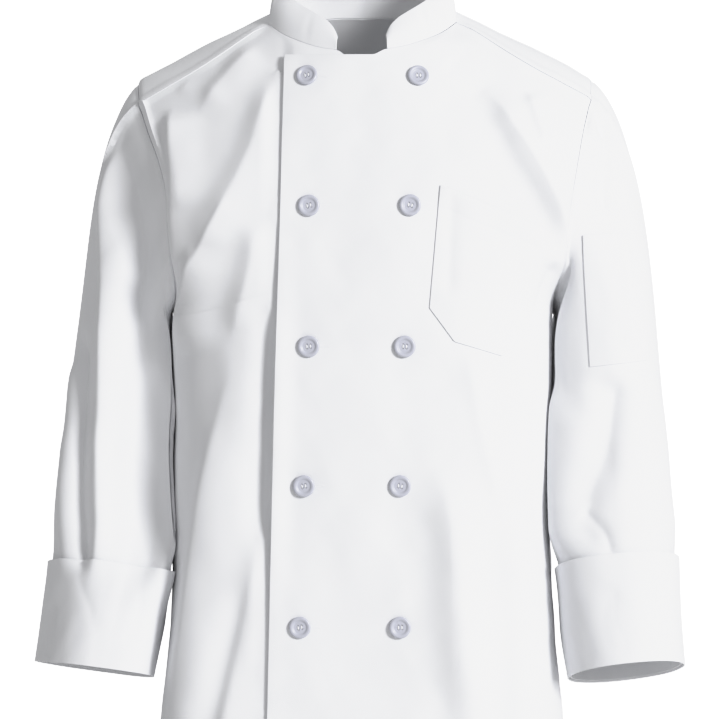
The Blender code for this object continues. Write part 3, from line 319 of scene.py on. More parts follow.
FINE_FRONT_FOLDS = {
    "right": (
        # side that swells towards the sleeve
        (((-186, -275), (-186, -340), (-186, -430), (-185, -575)), 1.8, 8, 8, 0),
        # the drag fold from the neck to the armpit, crisp where it nears the armhole
        (((-74, -58), (-83, -82), (-92, -102), (-99, -122), (-104, -142), (-112, -162),
          (-121, -181), (-132, -201), (-142, -220), (-153, -239), (-164, -258), (-173, -272)),
         3.6, 9, 24, 1.5),
        (((-128, -194), (-138, -212), (-149, -232), (-161, -254), (-172, -270)), 1.6, 2.5, 8, 0.8),
        # the second one, from beside the closure down to the side
        (((-103, -222), (-105, -240), (-107, -259), (-111, -278), (-116, -297), (-121, -316),
          (-128, -341)), 2.6, 7, 16, 1.5),
        # soft diagonals under the shoulder seam
        (((-100, -42), (-115, -59), (-128, -73), (-139, -86), (-151, -101), (-163, -117)),
         2.6, 7, 16, 1.5),
        (((-148, -57), (-162, -69), (-174, -84), (-181, -96)), 1.4, 5, 8, 1.5),
        # bulge beside the armhole, steep towards it
        (((-189, -104), (-187, -130), (-187, -150), (-185, -172), (-185, -192), (-188, -212)),
         4.0, 5, 16, 1.5),
        # lobe at the armpit and down the side
        (((-164, -252), (-169, -268), (-172, -287), (-174, -312), (-173, -338)), 3.0, 4, 16, 1.5),
        # long ridge down the side, steep towards it
        (((-126, -345), (-129, -369), (-135, -394), (-141, -423), (-146, -452), (-151, -481),
          (-155, -510), (-159, -539), (-163, -568), (-167, -598), (-170, -627), (-174, -656),
          (-177, -690)), 3.6, 8, 22, 2),
        # fold that leaves the closure low down
        (((-95, -510), (-99, -540), (-105, -571), (-112, -597), (-118, -625), (-124, -653),
          (-130, -682), (-136, -710), (-146, -765)), 5.0, 8, 22, 2),
    ),
    "left": (
        (((116, -88), (133, -112), (145, -132), (161, -156), (176, -182), (188, -208), (196, -232),
          (201, -252)),
         8.5, 6.5, 20, 1.2),
        (((188, -275), (187, -340), (187, -450)), 1.8, 8, 8, 0),
        (((160, -92), (168, -120), (177, -154)), 6.5, 5, 9, 1.5),
        (((82, -60), (102, -80), (120, -100)), -2.0, 12, 14, 0),
        (((190, -256), (182, -276), (172, -300), (164, -326)), -6.0, 8, 9, 2),
        (((74, -455), (80, -489), (86, -520), (88, -548), (91, -577), (94, -605), (96, -634),
          (103, -663), (112, -700)), 3.0, 14, 22, 4),
        (((96, -338), (103, -364), (109, -393), (113, -422), (121, -451), (127, -480),
          (131, -508)), 4.4, 8, 16, 3),
        (((-12, -490), (10, -520), (30, -550), (44, -600)), 1.0, 12, 22, 3),
        (((176, -360), (168, -420), (170, -500), (176, -580)), -3.0, 8, 12, 3),
        (((86, -190), (84, -250), (82, -300)), -3.0, 7, 9, 3),
    ),
}
LARGE_BACK_FOLDS = (
    (((-150, -170), (-130, -240), (-95, -320), (-70, -400)), -5.0, 20, 18, 0),
    (((150, -175), (126, -250), (98, -330), (80, -420)), -5.5, 18, 22, 0),
    (((-60, -420), (-66, -540), (-84, -660), (-92, -765)), -6.5, 20, 22, 0),
    (((54, -400), (66, -520), (76, -640), (90, -765)), -7.0, 22, 20, 0),
    (((4, -470), (-2, -600), (6, -765)), 4.5, 28, 30, 0),
    (((-128, -430), (-140, -560), (-150, -765)), 5.0, 24, 22, 0),
    (((126, -450), (140, -590), (144, -765)), 5.5, 22, 24, 0),
    (((-70, -60), (0, -86), (74, -58)), -3.0, 18, 18, 0),
)
FINE_BACK_FOLDS = (
    (((-176, -150), (-162, -200), (-140, -252), (-112, -300)), -2.6, 6, 15, 2),
    (((178, -148), (160, -206), (134, -262), (108, -318)), -3.0, 15, 6, 2),
    (((-185, -262), (-160, -290), (-128, -322), (-100, -368)), -2.2, 7, 12, 2),
    (((186, -268), (156, -298), (122, -338), (96, -390)), -2.0, 12, 7, 2),
    (((-68, -440), (-76, -540), (-90, -640), (-98, -750)), -2.4, 8, 12, 3),
    (((62, -430), (70, -530), (84, -640), (92, -750)), -2.8, 12, 8, 3),
    (((-100, -96), (-60, -128), (-20, -140), (24, -136), (70, -118)), -1.2, 10, 14, 4),
    (((-150, -420), (-164, -520), (-176, -640)), -2.0, 8, 12, 3),
    (((148, -430), (166, -530), (174, -650)), -2.2, 12, 8, 3),
    (((0, -330), (-8, -420), (-4, -520)), -1.0, 16, 16, 0),
)
BACK_FOLDS_START = 0.03  # depth behind the ridge where the back's folds are whole

# Folds on a sleeve: path of turn in degrees and height in millimetres, banks in millimetres
# round the sleeve. Turn 0 is outside, 90 in front, 180 towards the torso.
LARGE_SLEEVE_FOLDS = {
    "right": (
        # path, height, bank before, bank after, crease
        (((1, -108), (4, -140), (16, -187), (27, -217), (40, -246), (54, -276), (63, -316),
          (70, -394), (75, -512), (78, -578)), 7.5, 10, 17, 0),
        (((2, -100), (4, -134), (20, -161), (48, -198), (80, -247), (98, -300), (106, -340)),
         -12.0, 16, 24, 0),
        (((98, -300), (105, -355), (109, -394), (114, -434), (116, -512), (124, -590)),
         -6.0, 16, 20, 0),
        (((24, -320), (42, -355), (50, -395), (55, -434), (58, -473), (62, -512), (68, -572)),
         -7.0, 10, 10, 0),
        (((20, -345), (30, -385), (35, -434), (37, -473), (41, -512), (46, -574)), 3.0, 12, 10, 0),
        (((235, -250), (245, -370), (238, -500)), -5.0, 20, 20, 0),
        (((290, -330), (280, -440), (285, -540)), 4.0, 22, 18, 0),
    ),
    "left": (
        (((80, -365), (85, -394), (91, -423), (99, -452), (110, -481), (118, -510), (116, -545)),
         -7.5, 18, 20, 0),
        (((104, -214), (126, -243), (148, -285), (152, -330), (152, -390)), -4.0, 12, 12, 0),
        (((130, -240), (128, -330), (120, -420)), -3.0, 18, 18, 0),
        (((240, -260), (250, -360), (236, -480)), -5.0, 20, 20, 0),
        (((300, -350), (285, -450), (292, -540)), 4.0, 18, 22, 0),
    ),
}
FINE_SLEEVE_FOLDS = {
    "right": (
        # crisp edge of the outer wall
        (((0, -98), (2, -118), (4, -140), (16, -187), (27, -217), (40, -246), (54, -276), (63, -316),
          (67, -355), (70, -394), (74, -473), (79, -585)), 3.0, 5, 16, 1.2),
        # foot of the wall that rises to the armhole
        (((0, -78), (2, -108), (4, -136), (20, -161), (36, -180), (48, -198), (65, -223), (80, -247),
          (92, -277), (100, -311), (105, -355), (109, -394), (114, -434), (116, -512), (124, -585)),
         -4.5, 12, 26, 2),
        (((24, -322), (42, -355), (50, -395), (55, -434), (58, -473), (62, -512), (68, -570)),
         -3.0, 7, 7, 1.5),
        (((205, -330), (215, -400), (222, -470)), -2.4, 7, 10, 2),
        (((250, -300), (262, -360), (256, -430)), -2.2, 8, 9, 2),
        (((300, -180), (292, -260), (280, -330)), -2.0, 8, 12, 3),
        (((330, -300), (335, -400), (330, -520)), -1.4, 10, 8, 3),
    ),
    "left": (
        # hollow beside the armhole and the torso
        (((98, -200), (116, -223), (138, -257), (149, -289), (148, -320), (145, -350), (143, -404)),
         -4.5, 9, 9, 3),
        # slack over the pocket
        (((50, -226), (60, -270), (63, -300), (65, -344)), 2.5, 12, 6, 2),
        # head of the sleeve
        (((2, -92), (7, -114), (16, -138)), -4.0, 4, 4, 1),
        (((3, -94), (13, -116), (24, -138)), 5.0, 5, 5, 1.2),
        (((3, -114), (16, -140), (30, -163), (44, -184), (60, -214)), -5.5, 5, 8, 1.2),
        # bend of the elbow and the crease that runs out of it
        (((76, -372), (82, -394), (88, -423), (96, -452), (108, -481), (114, -506)),
         -2.6, 10, 14, 3),
        (((118, -498), (108, -510), (102, -520), (99, -545)), -3.5, 6, 7, 1.5),
        (((140, -260), (136, -330), (128, -400)), -1.4, 8, 10, 3),
        (((210, -330), (222, -400), (214, -480)), -2.4, 7, 10, 2),
        (((252, -290), (260, -350), (250, -430)), -2.0, 8, 9, 2),
        (((305, -190), (296, -270), (288, -350)), -1.8, 10, 8, 3),
    ),
}
# Soft unevenness of worn cloth: wavelength in millimetres, height in millimetres
WAVES = ((150, 0.9), (80, 0.45), (46, 0.22), (27, 0.10))
WAVES_A_SIZE = 7
SLEEVE_WAVE_RADIUS = 0.066  # turns a sleeve's angle into cloth for the waves
WAVES_MEET = 25  # degrees over which waves die away where a sleeve's turn starts again
WAVES_TURN = 0.7  # spread of their directions, radians
WAVES_PACE = (0.8, 1.25)  # shares of the wavelength's pace between which they vary
WORN_SEEDS = {"over": 3, "under": 5, "back": 8, "right": 13, "left": 21, "chest_pocket": 31,
              "sleeve_pocket": 37}
FINE_CALM = 0.009  # fine folds die away within this of a seam

# The over front's edge stands off the under one along its length, and its corner curls.
EDGE_STANDS_OFF = np.array((
    # height, how far off in millimetres
    (-0.765, 1.2), (-0.640, 0.8), (-0.560, 2.6), (-0.480, 6.0), (-0.380, 5.5), (-0.300, 2.8),
    (-0.220, 0.7), (-0.140, 0.2), (-0.090, 0.5), (-0.058, 1.2),
))
EDGE_STANDS_OVER = 0.030  # width over which it comes off
BUTTON_DIMPLE = (-0.9, 0.016)  # how far cloth is drawn in at a button, in mm, and how wide in m
# How deep cloth dips at an armhole's seam in mm, and how wide in m
SEAM_SINKS = {"right": (2.6, 0.0021), "left": (1.9, 0.0030)}
# Cloth that swells beside the right armhole's upper part: proud in mm, how far off in m, width,
# and the shares of the armhole's rows from which and over which it grows
SEAM_SWELL = (2.2, 0.0062, 0.0022, 0.5, 0.2)
SHOULDER_FOLD = (3.0, 0.0065, 0.0040)  # the back's turned-in edge: proud in mm, width, fall
SHOULDER_FOLD_BELOW = (2.2, 0.0042)  # the front's edge under it: proud in mm, width

# Upright creases of the collar: place across, depth in mm, half width in m
COLLAR_CREASES = ((0.0645, -0.9, 0.0022), (0.0735, -0.7, 0.0020), (-0.0560, -0.5, 0.0030),
                  (0.0860, 0.6, 0.0050))
# Dents and creases of the cuffs: path of turn in degrees and height in mm, as on a sleeve
CUFF_FOLDS = {
    "right": (
        (((62, -562), (72, -580), (84, -600), (92, -625)), -1.3, 5, 9, 1.5),
        (((28, -590), (30, -620), (24, -648)), -2.0, 9, 9, 2),
        (((120, -565), (126, -600), (118, -640)), -1.2, 8, 8, 2),
        (((210, -570), (220, -610), (214, -650)), -1.6, 9, 9, 2),
        (((300, -562), (306, -600), (296, -640)), -1.3, 9, 9, 2),
    ),
    "left": (
        (((96, -570), (104, -600), (96, -645)), -1.6, 9, 12, 2),
        (((40, -560), (52, -585), (60, -620)), -1.1, 6, 10, 2),
        (((140, -580), (136, -620), (128, -650)), -1.6, 8, 8, 2),
        (((230, -566), (236, -610), (228, -650)), -1.4, 9, 9, 2),
        (((310, -562), (300, -600), (308, -646)), -1.3, 9, 9, 2),
    ),
}

# ---------------------------------------------------------------- finishes and light
TWILL_PITCH = 0.0009  # between two of the twill's diagonal ribs
RIB_SLANT = 0.8  # how far a rib goes up while it goes one across
RIB_HEIGHT = 0.00006
YARN_HEIGHT = 0.00005
TWIST_HEIGHT = 0.0001
SCUFF_HEIGHT = 0.00004
TWILL_ROUGHNESS = 0.76
TWILL_ROUGHENS = 0.12  # how much rougher it gets where the yarn is high
BUTTON_ROUGHNESS = 0.25
BUTTON_ROUGHENS = 0.25
NOISES = {
    # what it stands for: scale, detail, roughness
    "yarn": (900.0, 2.0, 0.6),
    "cloudiness": (9.0, 3.0, 0.55),
    "twist": (1500.0, 1.0, 0.5),
    "blotches": (220.0, 3.0, 0.5),
    "scuffs": (1400.0, 2.0, 0.5),
}

WHITE_LIT = (0.862, 0.868, 0.890)
WHITE_WORN = (0.835, 0.842, 0.868)
GREY_DEEP = (0.50, 0.51, 0.58)
GREY_PALE = (0.57, 0.58, 0.65)
PALE_FLOOR = (0.86, 0.86, 0.86, 1.0)

FLOOR = -1.50  # height of the floor, with the neck at zero
FLOOR_AROUND = 96
FLOOR_SECTION = np.array((
    # radius, height over the floor
    (0.001, 0.0), (0.8, 0.0), (1.8, 0.0), (2.6, 0.0), (2.62, -0.004), (2.62, -0.02),
))
SKY = 0.41
BACKDROP = 1.8  # how bright the sky itself shows behind everything
HIGHLIGHTS = (
    # light, how it shows
    (0.0, 0.0), (0.20, 0.20), (0.40, 0.40), (0.60, 0.605), (0.75, 0.765), (0.92, 0.872),
    (1.22, 0.915), (1.6, 1.0),
)
LAMPS = (
    # place, aim, size, watts
    ((4.36, -4.84, 1.52), (0.0, 0.0, -0.35), 1.54, 365.0),
    ((-0.60, 2.30, 1.30), (0.0, 0.0, -0.30), 1.6, 16.0),
)
CAMERA_PLACE = (-0.003, -3.2, -0.3545)
CAMERA_LENS = 160.0  # millimetres, on a sensor 36 wide


# ---------------------------------------------------------------- curves
def cubic(x, y, slope, at):
    """The cubic curve through y at x with the given slopes, at any places between: for the share t
    of the way, (1 + 2t)(1 - t)^2 and t^2 (3 - 2t) of the two values, and t (1 - t)^2 and
    -t^2 (1 - t) of the two slopes times the step."""
    i = np.clip(np.searchsorted(x, at, side="right") - 1, 0, len(x) - 2)
    h = x[i + 1] - x[i]
    t = (at - x[i]) / h
    if y.ndim > 1:
        h, t = h[:, None], t[:, None]
    return ((1 + 2 * t) * (1 - t) ** 2 * y[i] + t * (1 - t) ** 2 * h * slope[i]
            + t * t * (3 - 2 * t) * y[i + 1] - t * t * (1 - t) * h * slope[i + 1])


def table(rows, column, at):
    """A smooth curve through one column of a table, whose first column rises: between two rows a
    cubic with the harmonic mean of the neighbouring slopes, so it never passes beyond them."""
    x, y = rows[:, 0], rows[:, column]
    step = np.diff(y) / np.diff(x)
    slope = np.concatenate(([step[0]], np.zeros(len(x) - 2), [step[-1]]))
    same = step[:-1] * step[1:] > 0
    slope[1:-1][same] = 2 * step[:-1][same] * step[1:][same] / (step[:-1] + step[1:])[same]
    return cubic(x, y, slope, np.clip(at, x[0], x[-1]))


def reach(points):
    """Length walked along a run of points up to each of them."""
    steps = np.linalg.norm(np.diff(points, axis=0), axis=1)
    return np.concatenate(([0.0], np.cumsum(steps)))


def at_lengths(stops, walked, values):
    """Rows of values at some lengths walked, straight between the known ones."""
    return np.stack([np.interp(stops, walked, column) for column in values.T], axis=1)


def stepped(line, steps, spots=None):
    """A line stopped at even distances, walked along it or along the spots it stands for."""
    walked = reach(line if spots is None else spots)
    return at_lengths(np.linspace(0, walked[-1], steps + 1), walked, line)


def even(points, steps):
    """Points at even distances along the cubic curve through the given ones."""
    points = np.asarray(points, float)
    walked = reach(points)
    slope = np.gradient(points, walked, axis=0)
    fine = np.linspace(0, walked[-1], EVEN_FINER * len(points))
    return stepped(cubic(walked, points, slope, fine), steps)


def ease(t):
    """0 to 1 with flat ends: 3 t^2 - 2 t^3."""
    t = np.clip(t, 0, 1)
    return t * t * (3 - 2 * t)


def bell(away, width):
    """exp(-(away / width)^2)."""
    return np.exp(-(away / width) ** 2)


def joined(*runs):
    """Runs of points end to end, each without the last point of the one before."""
    return np.concatenate([run if i == 0 else run[1:] for i, run in enumerate(runs)])


def unit(vectors):
    """Vectors of length one."""
    return vectors / np.maximum(np.linalg.norm(vectors, axis=-1, keepdims=True), 1e-12)


def cross(a, b):
    """Cross product of flat vectors."""
    return a[..., 0] * b[..., 1] - a[..., 1] * b[..., 0]


def turned(radius, height, count):
    """A section carried round: radius * cos(turn), radius * sin(turn) and height."""
    turn = np.arange(count) / count * 2 * math.pi
    radius, height = radius[:, None], height[:, None] + 0 * turn
    return np.stack((radius * np.cos(turn), radius * np.sin(turn), height), axis=-1)


# ---------------------------------------------------------------- grids
def numbers(grid):
    """Point numbers of a grid."""
    return np.arange(grid.shape[0] * grid.shape[1]).reshape(grid.shape[:2])


def closed(grid):
    """A ring's grid with its first column once more at its end."""
    return np.concatenate((grid, grid[:, :1]), axis=1)


def cells(index):
    """Four corners of each cell of a grid of point numbers."""
    return np.stack((index[:-1, :-1], index[:-1, 1:], index[1:, 1:], index[1:, :-1]),
                    -1).reshape(-1, 4)


def from_border(grid, border):
    """A grid turned so that the named border is its first row."""
    grid = grid if border in ("bottom", "top") else grid.swapaxes(0, 1)
    return grid[::-1] if border in ("top", "end") else grid


def distance_from(grid, border):
    """Length along the rows or columns from one border of a grid to each of its points."""
    steps = np.linalg.norm(np.diff(from_border(grid, border), axis=0), axis=-1)
    walked = np.concatenate((np.zeros((1, steps.shape[1])), np.cumsum(steps, axis=0)))
    walked = walked[::-1] if border in ("top", "end") else walked
    return walked if border in ("bottom", "top") else walked.T


def sample(grid, rows, columns):
    """Value of a grid at places between its rows and columns, straight between the four nearest."""
    i = np.clip(rows.astype(int), 0, grid.shape[0] - 2)
    j = np.clip(columns.astype(int), 0, grid.shape[1] - 2)
    s, t = (rows - i)[..., None], (columns - j)[..., None]
    low = grid[i, j] * (1 - t) + grid[i, j + 1] * t
    high = grid[i + 1, j] * (1 - t) + grid[i + 1, j + 1] * t
    return low * (1 - s) + high * s


def patch(bottom, top, start, end):
    """A grid between four borders that share their corners. A border's bends spread over the
    whole height, but only a little way across."""
    s = np.linspace(0, 1, len(bottom))[None, :, None]
    t = np.linspace(0, 1, len(start))[:, None, None]
    grid = (1 - t) * bottom[None] + t * top[None]
    start_bend = start[:, None] - ((1 - t) * bottom[0] + t * top[0])
    end_bend = end[:, None] - ((1 - t) * bottom[-1] + t * top[-1])
    return grid + (1 - s) ** 3 * start_bend + s ** 3 * end_bend


# ---------------------------------------------------------------- the torso's form
def ridge(x):
    """Height of the shoulder ridge over a place across: top - slope * hypot(x, round) + tilt * x."""
    return RIDGE_TOP - RIDGE_SLOPE * np.hypot(x, RIDGE_ROUND) + RIDGE_TILT * x


def depth_at(y, z):
    """Depth of the form's back half, or of its front half where y is below zero."""
    return np.where(y > 0, table(TORSO, 3, z), table(TORSO, 2, z))


def torso(side, drape):
    """Points of the form for side and drape angles. Height is the ridge's less the fall: round
    times 1 - cos(drape), straight down past a right angle. Across is the half width at that
    height times sin(side)^(2/power), depth its depth times cos(side)^(2/power) sin(drape)."""
    turn = np.abs(drape)
    fall = np.where(turn < math.pi / 2, 1 - np.cos(turn), 1 + turn - math.pi / 2)
    fall = fall * np.where(drape > 0, BACK_ROUND, FRONT_ROUND)
    x = FIRST_HALF_WIDTH * np.sin(side)
    for _ in range(WIDTH_PASSES):
        z = ridge(x) - fall
        power = table(TORSO, 4, z)
        x = np.sign(side) * np.abs(np.sin(side)) ** (2 / power) * table(TORSO, 1, z)
    y = np.sign(drape) * depth_at(drape, z) * np.abs(np.cos(side)) ** (2 / power)
    y = y * np.sin(np.minimum(turn, math.pi / 2))
    return np.stack((x, y, z), axis=-1)


def angles(across, height, back=False):
    """Side and drape angles of a point of the form seen from the front or the back."""
    across, height = np.asarray(across, float), np.asarray(height, float)
    share = np.clip(np.abs(across) / table(TORSO, 1, height), 0, 1)
    side = np.sign(across) * np.arcsin(share ** (table(TORSO, 4, height) / 2))
    fall = (ridge(across) - height) / (BACK_ROUND if back else FRONT_ROUND)
    drape = np.where(fall < 1, np.arccos(np.clip(1 - fall, -1, 1)), math.pi / 2 + fall - 1)
    return np.stack((side, drape if back else -drape), axis=-1)


def inside(p):
    """Below zero inside the form, zero on it."""
    x, y, z = np.moveaxis(p, -1, 0)
    roof = np.clip((z - ridge(x)) / np.where(y > 0, BACK_ROUND, FRONT_ROUND) + 1, 0, 1)
    power = table(TORSO, 4, z)
    room = np.clip(1 - (np.abs(x) / table(TORSO, 1, z)) ** power, 0, 1)
    return (y / depth_at(y, z)) ** 2 - room ** (2 / power) * (1 - roof ** 2)


def normals(p, step=0.0008):
    """Outward normals of the form, from its slope along each axis."""
    return unit(np.stack([inside(p + step * axis) - inside(p - step * axis) for axis in np.eye(3)], -1))


def half_width(y, z):
    """How far the form reaches to each side at a depth and a height."""
    power = table(TORSO, 4, z)
    room = np.clip(1 - (np.abs(y) / depth_at(y, z)) ** power, 0, 1)
    return table(TORSO, 1, z) * room ** (1 / power)


# ---------------------------------------------------------------- shaping cloth
def beside_path(path, across, height):
    """For places near a path: the distance to it, the share of it walked there, and which side
    of it they are on, above zero to the left of its run."""
    line = even(path, FOLD_STRETCHES)
    start, run = line[:-1], np.diff(line, axis=0)
    off = np.stack((across, height), -1)[..., None, :] - start
    share = np.clip((off * run).sum(-1) / (run ** 2).sum(-1), 0, 1)
    away = np.linalg.norm(off - share[..., None] * run, axis=-1)
    near = away.argmin(-1)[..., None]
    away, share, turning = (np.take_along_axis(v, near, -1)[..., 0]
                            for v in (away, share, cross(run, off)))
    return away, (near[..., 0] + share) / len(run), turning


def fold_height(rows, across, height, fade=FOLD_FADE):
    """Sum of the folds at places in millimetres. A soft one is height * exp(-(away / bank)^2); a
    creased one is height * exp(-(hypot(away, crease) - crease) / bank). Both die away at the
    path's ends."""
    total = np.zeros(np.shape(across))
    for path, rise, left_bank, right_bank, crease in rows:
        away, along, turning = beside_path(path, across, height)
        bank = np.where(turning < 0, left_bank, right_bank)
        ends = ease(along / fade) * ease((1 - along) / fade)
        soft = np.exp(-(np.hypot(away, crease) - crease) / bank) if crease else bell(away, bank)
        total += rise * soft * ends
    return total


def folds_at(flat, *rows):
    """Folds of one or more tables at points of the form, in millimetres."""
    return sum(fold_height(r, flat[..., 0] / MM, flat[..., 2] / MM) for r in rows)


def folds_round(rows, grid, fade=FOLD_FADE):
    """Folds round a sleeve or a cuff, in millimetres, their turns made lengths of cloth."""
    turn = np.arange(grid.shape[1]) * 360 / grid.shape[1]
    around = np.broadcast_to(turn * MM_A_DEGREE, grid.shape[:2])
    rows = [(np.array(path) * (MM_A_DEGREE, 1), *sizes) for path, *sizes in rows]
    return fold_height(rows, around, grid[..., 2] / MM, fade)


def worn(u, v, piece):
    """Soft unevenness in millimetres at cloth coordinates in metres: for each wavelength a mean of
    sines that run in random directions, mostly across the cloth's length."""
    dice = np.random.default_rng(WORN_SEEDS[piece])
    total = np.zeros(np.shape(u))
    for length, height in WAVES:
        for _ in range(WAVES_A_SIZE):
            turn = dice.normal(0, WAVES_TURN)
            pace = 2 * math.pi / (length * MM) * dice.uniform(*WAVES_PACE)
            phase = dice.uniform(0, 2 * math.pi)
            run = u * math.cos(turn) + v * math.sin(turn)
            total += height / math.sqrt(WAVES_A_SIZE) * np.sin(pace * run + phase)
    return total


def calm_cells(height, free):
    """Large folds die away within some cells of a panel's seams. Free borders keep them."""
    i, j = np.indices(height.shape)
    i, j = i / (CALM_CELLS * ALONG_FINER), j / (CALM_CELLS * ACROSS_FINER)
    for border, away in (("bottom", i), ("top", i[::-1]), ("start", j), ("end", j[:, ::-1])):
        if border not in free:
            height = height * ease(away)
    return height


def calm_near(grid, borders):
    """0 at the named borders of a grid, growing to 1 over a length."""
    calm = np.ones(grid.shape[:2])
    for border in borders:
        calm = calm * ease(distance_from(grid, border) / FINE_CALM)
    return calm


# ---------------------------------------------------------------- panels
def shoulder_seam(name):
    """Forward shoulder seam from the neck to the armhole."""
    start, end = np.array(SHOULDER_POINT), np.array(ARMHOLE_FRONT[name][0])
    middle = (start + end) / 2 - (0, SHOULDER_SAG)
    return angles(*even((start, middle, end), SHOULDER_CELLS).T)


def side_seam(name, back):
    """From the hem up to the armpit."""
    z = np.linspace(-LENGTH_BELOW_NECK, ARMPIT, SIDE_ROWS + 1)
    return angles(SIDES[name] * table(TORSO, 1, z), z, back)


def mirror_to(name, run):
    """A run on the wearer's left as it is, or mirrored to the right."""
    return run * (SIDES[name], 1)


def back_armhole(name):
    """From the armpit up the back, over the ridge and down to the forward shoulder seam."""
    behind = angles(*even(ARMHOLE_BACK[name], FINE).T, back=True)[::-1]
    on_ridge = angles([ARMHOLE_ON_RIDGE[name]], ridge(np.array([ARMHOLE_ON_RIDGE[name]])))
    ahead = angles(*np.array([ARMHOLE_FRONT[name][0]]).T)
    line = np.concatenate((behind, on_ridge, ahead))
    return stepped(line, ARM_ROWS, torso(*line.T))


def lap_edge(name, height):
    """Place across of a front's lapping edge at a height."""
    share = (height - TOP_EDGE["left"]) / (-LENGTH_BELOW_NECK - TOP_EDGE["left"])
    middle = CLOSURE_TOP + share * (CLOSURE_HEM - CLOSURE_TOP)
    return middle - SIDES[name] * (LAP_TOP + share * (LAP_HEM - LAP_TOP))


def front_angles(name):
    """Angle grid of a front: columns from the lapping edge to the side, rows from the hem up."""
    sign, hem_z, top_z = SIDES[name], -LENGTH_BELOW_NECK, TOP_EDGE[name]
    z = np.linspace(hem_z, top_z, SIDE_ROWS + ARM_ROWS + 1)
    start = angles(lap_edge(name, z), z)
    armhole = angles(*even(ARMHOLE_FRONT[name], ARM_ROWS)[::-1].T)
    end = joined(side_seam(name, False), mirror_to(name, armhole))
    collar_end = np.array((sign * NECKLINE[0][0] + CLOSURE_TOP, top_z))
    straight = np.linspace((lap_edge(name, top_z), top_z), collar_end, LAP_CELLS + 1)
    off_middle = np.linspace(1, 0, NECK_CELLS + 1)[:, None] * (CLOSURE_TOP, 0)
    neck = even(NECKLINE, NECK_CELLS) * (sign, 1) + off_middle
    lower = ridge(neck[:, 0]) - ridge(np.abs(neck[:, 0]))  # of the side whose shoulder hangs lower
    neck[:, 1] += lower * np.linspace(0, 1, NECK_CELLS + 1)
    rises = ease(np.arange(-ACROSS_FINER, 1) / ACROSS_FINER + 1)[:, None]
    straight[-ACROSS_FINER - 1:] += rises * (neck[0] - collar_end)
    top = joined(angles(*joined(straight, neck).T), mirror_to(name, shoulder_seam(name)))
    under_shoulder, under_collar = (angles(sign * x, hem_z) for x in HEM_BREAKS)
    stops = (start[0], under_collar, under_shoulder, end[0])
    columns = (LAP_CELLS, NECK_CELLS, SHOULDER_CELLS)
    hem = joined(*(np.linspace(a, b, n + 1) for a, b, n in zip(stops[:-1], stops[1:], columns)))
    hem[:, 1] = angles(torso(*hem.T)[:, 0], np.full(len(hem), hem_z))[:, 1]
    return patch(hem, top, start, end)


def back_angles():
    """Angle grid of the back: columns from the wearer's right to the left, rows from the hem up."""
    start = joined(side_seam("right", True), mirror_to("right", back_armhole("right")))
    end = joined(side_seam("left", True), back_armhole("left"))
    across, drape = np.array(BACK_NECK).T
    side = np.arcsin((across / table(TORSO, 1, 0.0)) ** (table(TORSO, 4, 0.0) / 2))
    neck = even(np.stack((side, np.radians(drape)), axis=1), FINE)
    line = np.concatenate(([shoulder_seam("left")[0]], neck))
    half_neck = stepped(line, NECK_CELLS, torso(*line.T))
    top = joined(shoulder_seam("right")[::-1] * (-1, 1), half_neck * (-1, 1), half_neck[::-1],
                 shoulder_seam("left"))
    side = np.linspace(-math.pi / 2, math.pi / 2, len(top))
    across = np.sign(side) * np.abs(np.sin(side)) ** (2 / TORSO[0, 4]) * TORSO[0, 1]
    return patch(angles(across, np.full(len(top), -LENGTH_BELOW_NECK), True), top, start, end)


def draped(angle_grid, lift):
    """Outer points and normals of a panel: the form's points moved out by a lift in metres that
    depends on them."""
    flat = torso(*np.moveaxis(angle_grid, -1, 0))
    out = normals(flat)
    return flat + out * lift(flat)[..., None], out


def lap_raise(p):
    """How far the over front is lifted off the form to clear the under one."""
    past_hidden_edge = p[..., 0] - lap_edge("right", p[..., 2])
    beside = ease((LAP_RISE_STARTS - past_hidden_edge) / LAP_RISE)
    under_neck = ease((NECK_RISE_TOP - p[..., 2]) / NECK_RISE)
    at_middle = ease((MIDDLE_RISE_STARTS - p[..., 0]) / MIDDLE_RISE)
    return (CLOTH + LAP_GAP) * beside * np.maximum(under_neck, at_middle)


def edge_stands_off(flat):
    """Lift of the over front beside its lapping edge, in millimetres: the table's value at the
    edge, squared ease over the width."""
    past_edge = flat[..., 0] - lap_edge("left", flat[..., 2])
    return table(EDGE_STANDS_OFF, 1, flat[..., 2]) * ease(1 - past_edge / EDGE_STANDS_OVER) ** 2


def button_dimples(flat):
    """Cloth drawn in round each button: depth * exp(-(away / width)^2)."""
    depth, width = BUTTON_DIMPLE
    return sum(depth * bell(np.hypot(flat[..., 0] - across, flat[..., 2] - height), width)
               for height, *places in BUTTON_ROWS for across in places)


def seam_dip(name, grid, border):
    """Cloth that dips at an armhole's border, in millimetres: -depth * exp(-(away / width)^2),
    growing from nothing over the first rows above the armpit."""
    depth, width = SEAM_SINKS[name]
    above_armpit = ease((np.arange(len(grid))[:, None] - SIDE_ROWS) / ALONG_FINER)
    return -depth * bell(distance_from(grid, border), width) * above_armpit


def front_seams(name, flat):
    """Shaping of a front's cloth at its armhole and shoulder seam, in millimetres. The shoulder's
    border is raised by height * exp(-(away / width)^2) past the neck's columns, and the right
    front swells by height * exp(-((away - off) / width)^2) beside its armhole's upper part."""
    height, width = SHOULDER_FOLD_BELOW
    columns = np.arange(flat.shape[1])[None, :]
    on_shoulder = ease((columns - LAP_CELLS - NECK_CELLS) / ACROSS_FINER)
    raised = height * bell(distance_from(flat, "top"), width) * on_shoulder
    height, off, width, starts, over = SEAM_SWELL
    rows = np.arange(len(flat))[:, None] - SIDE_ROWS
    upper = ease((rows / ARM_ROWS - starts) / over) if name == "right" else 0
    swell = height * bell(distance_from(flat, "end") - off, width) * upper
    return seam_dip(name, flat, "end") + raised + swell


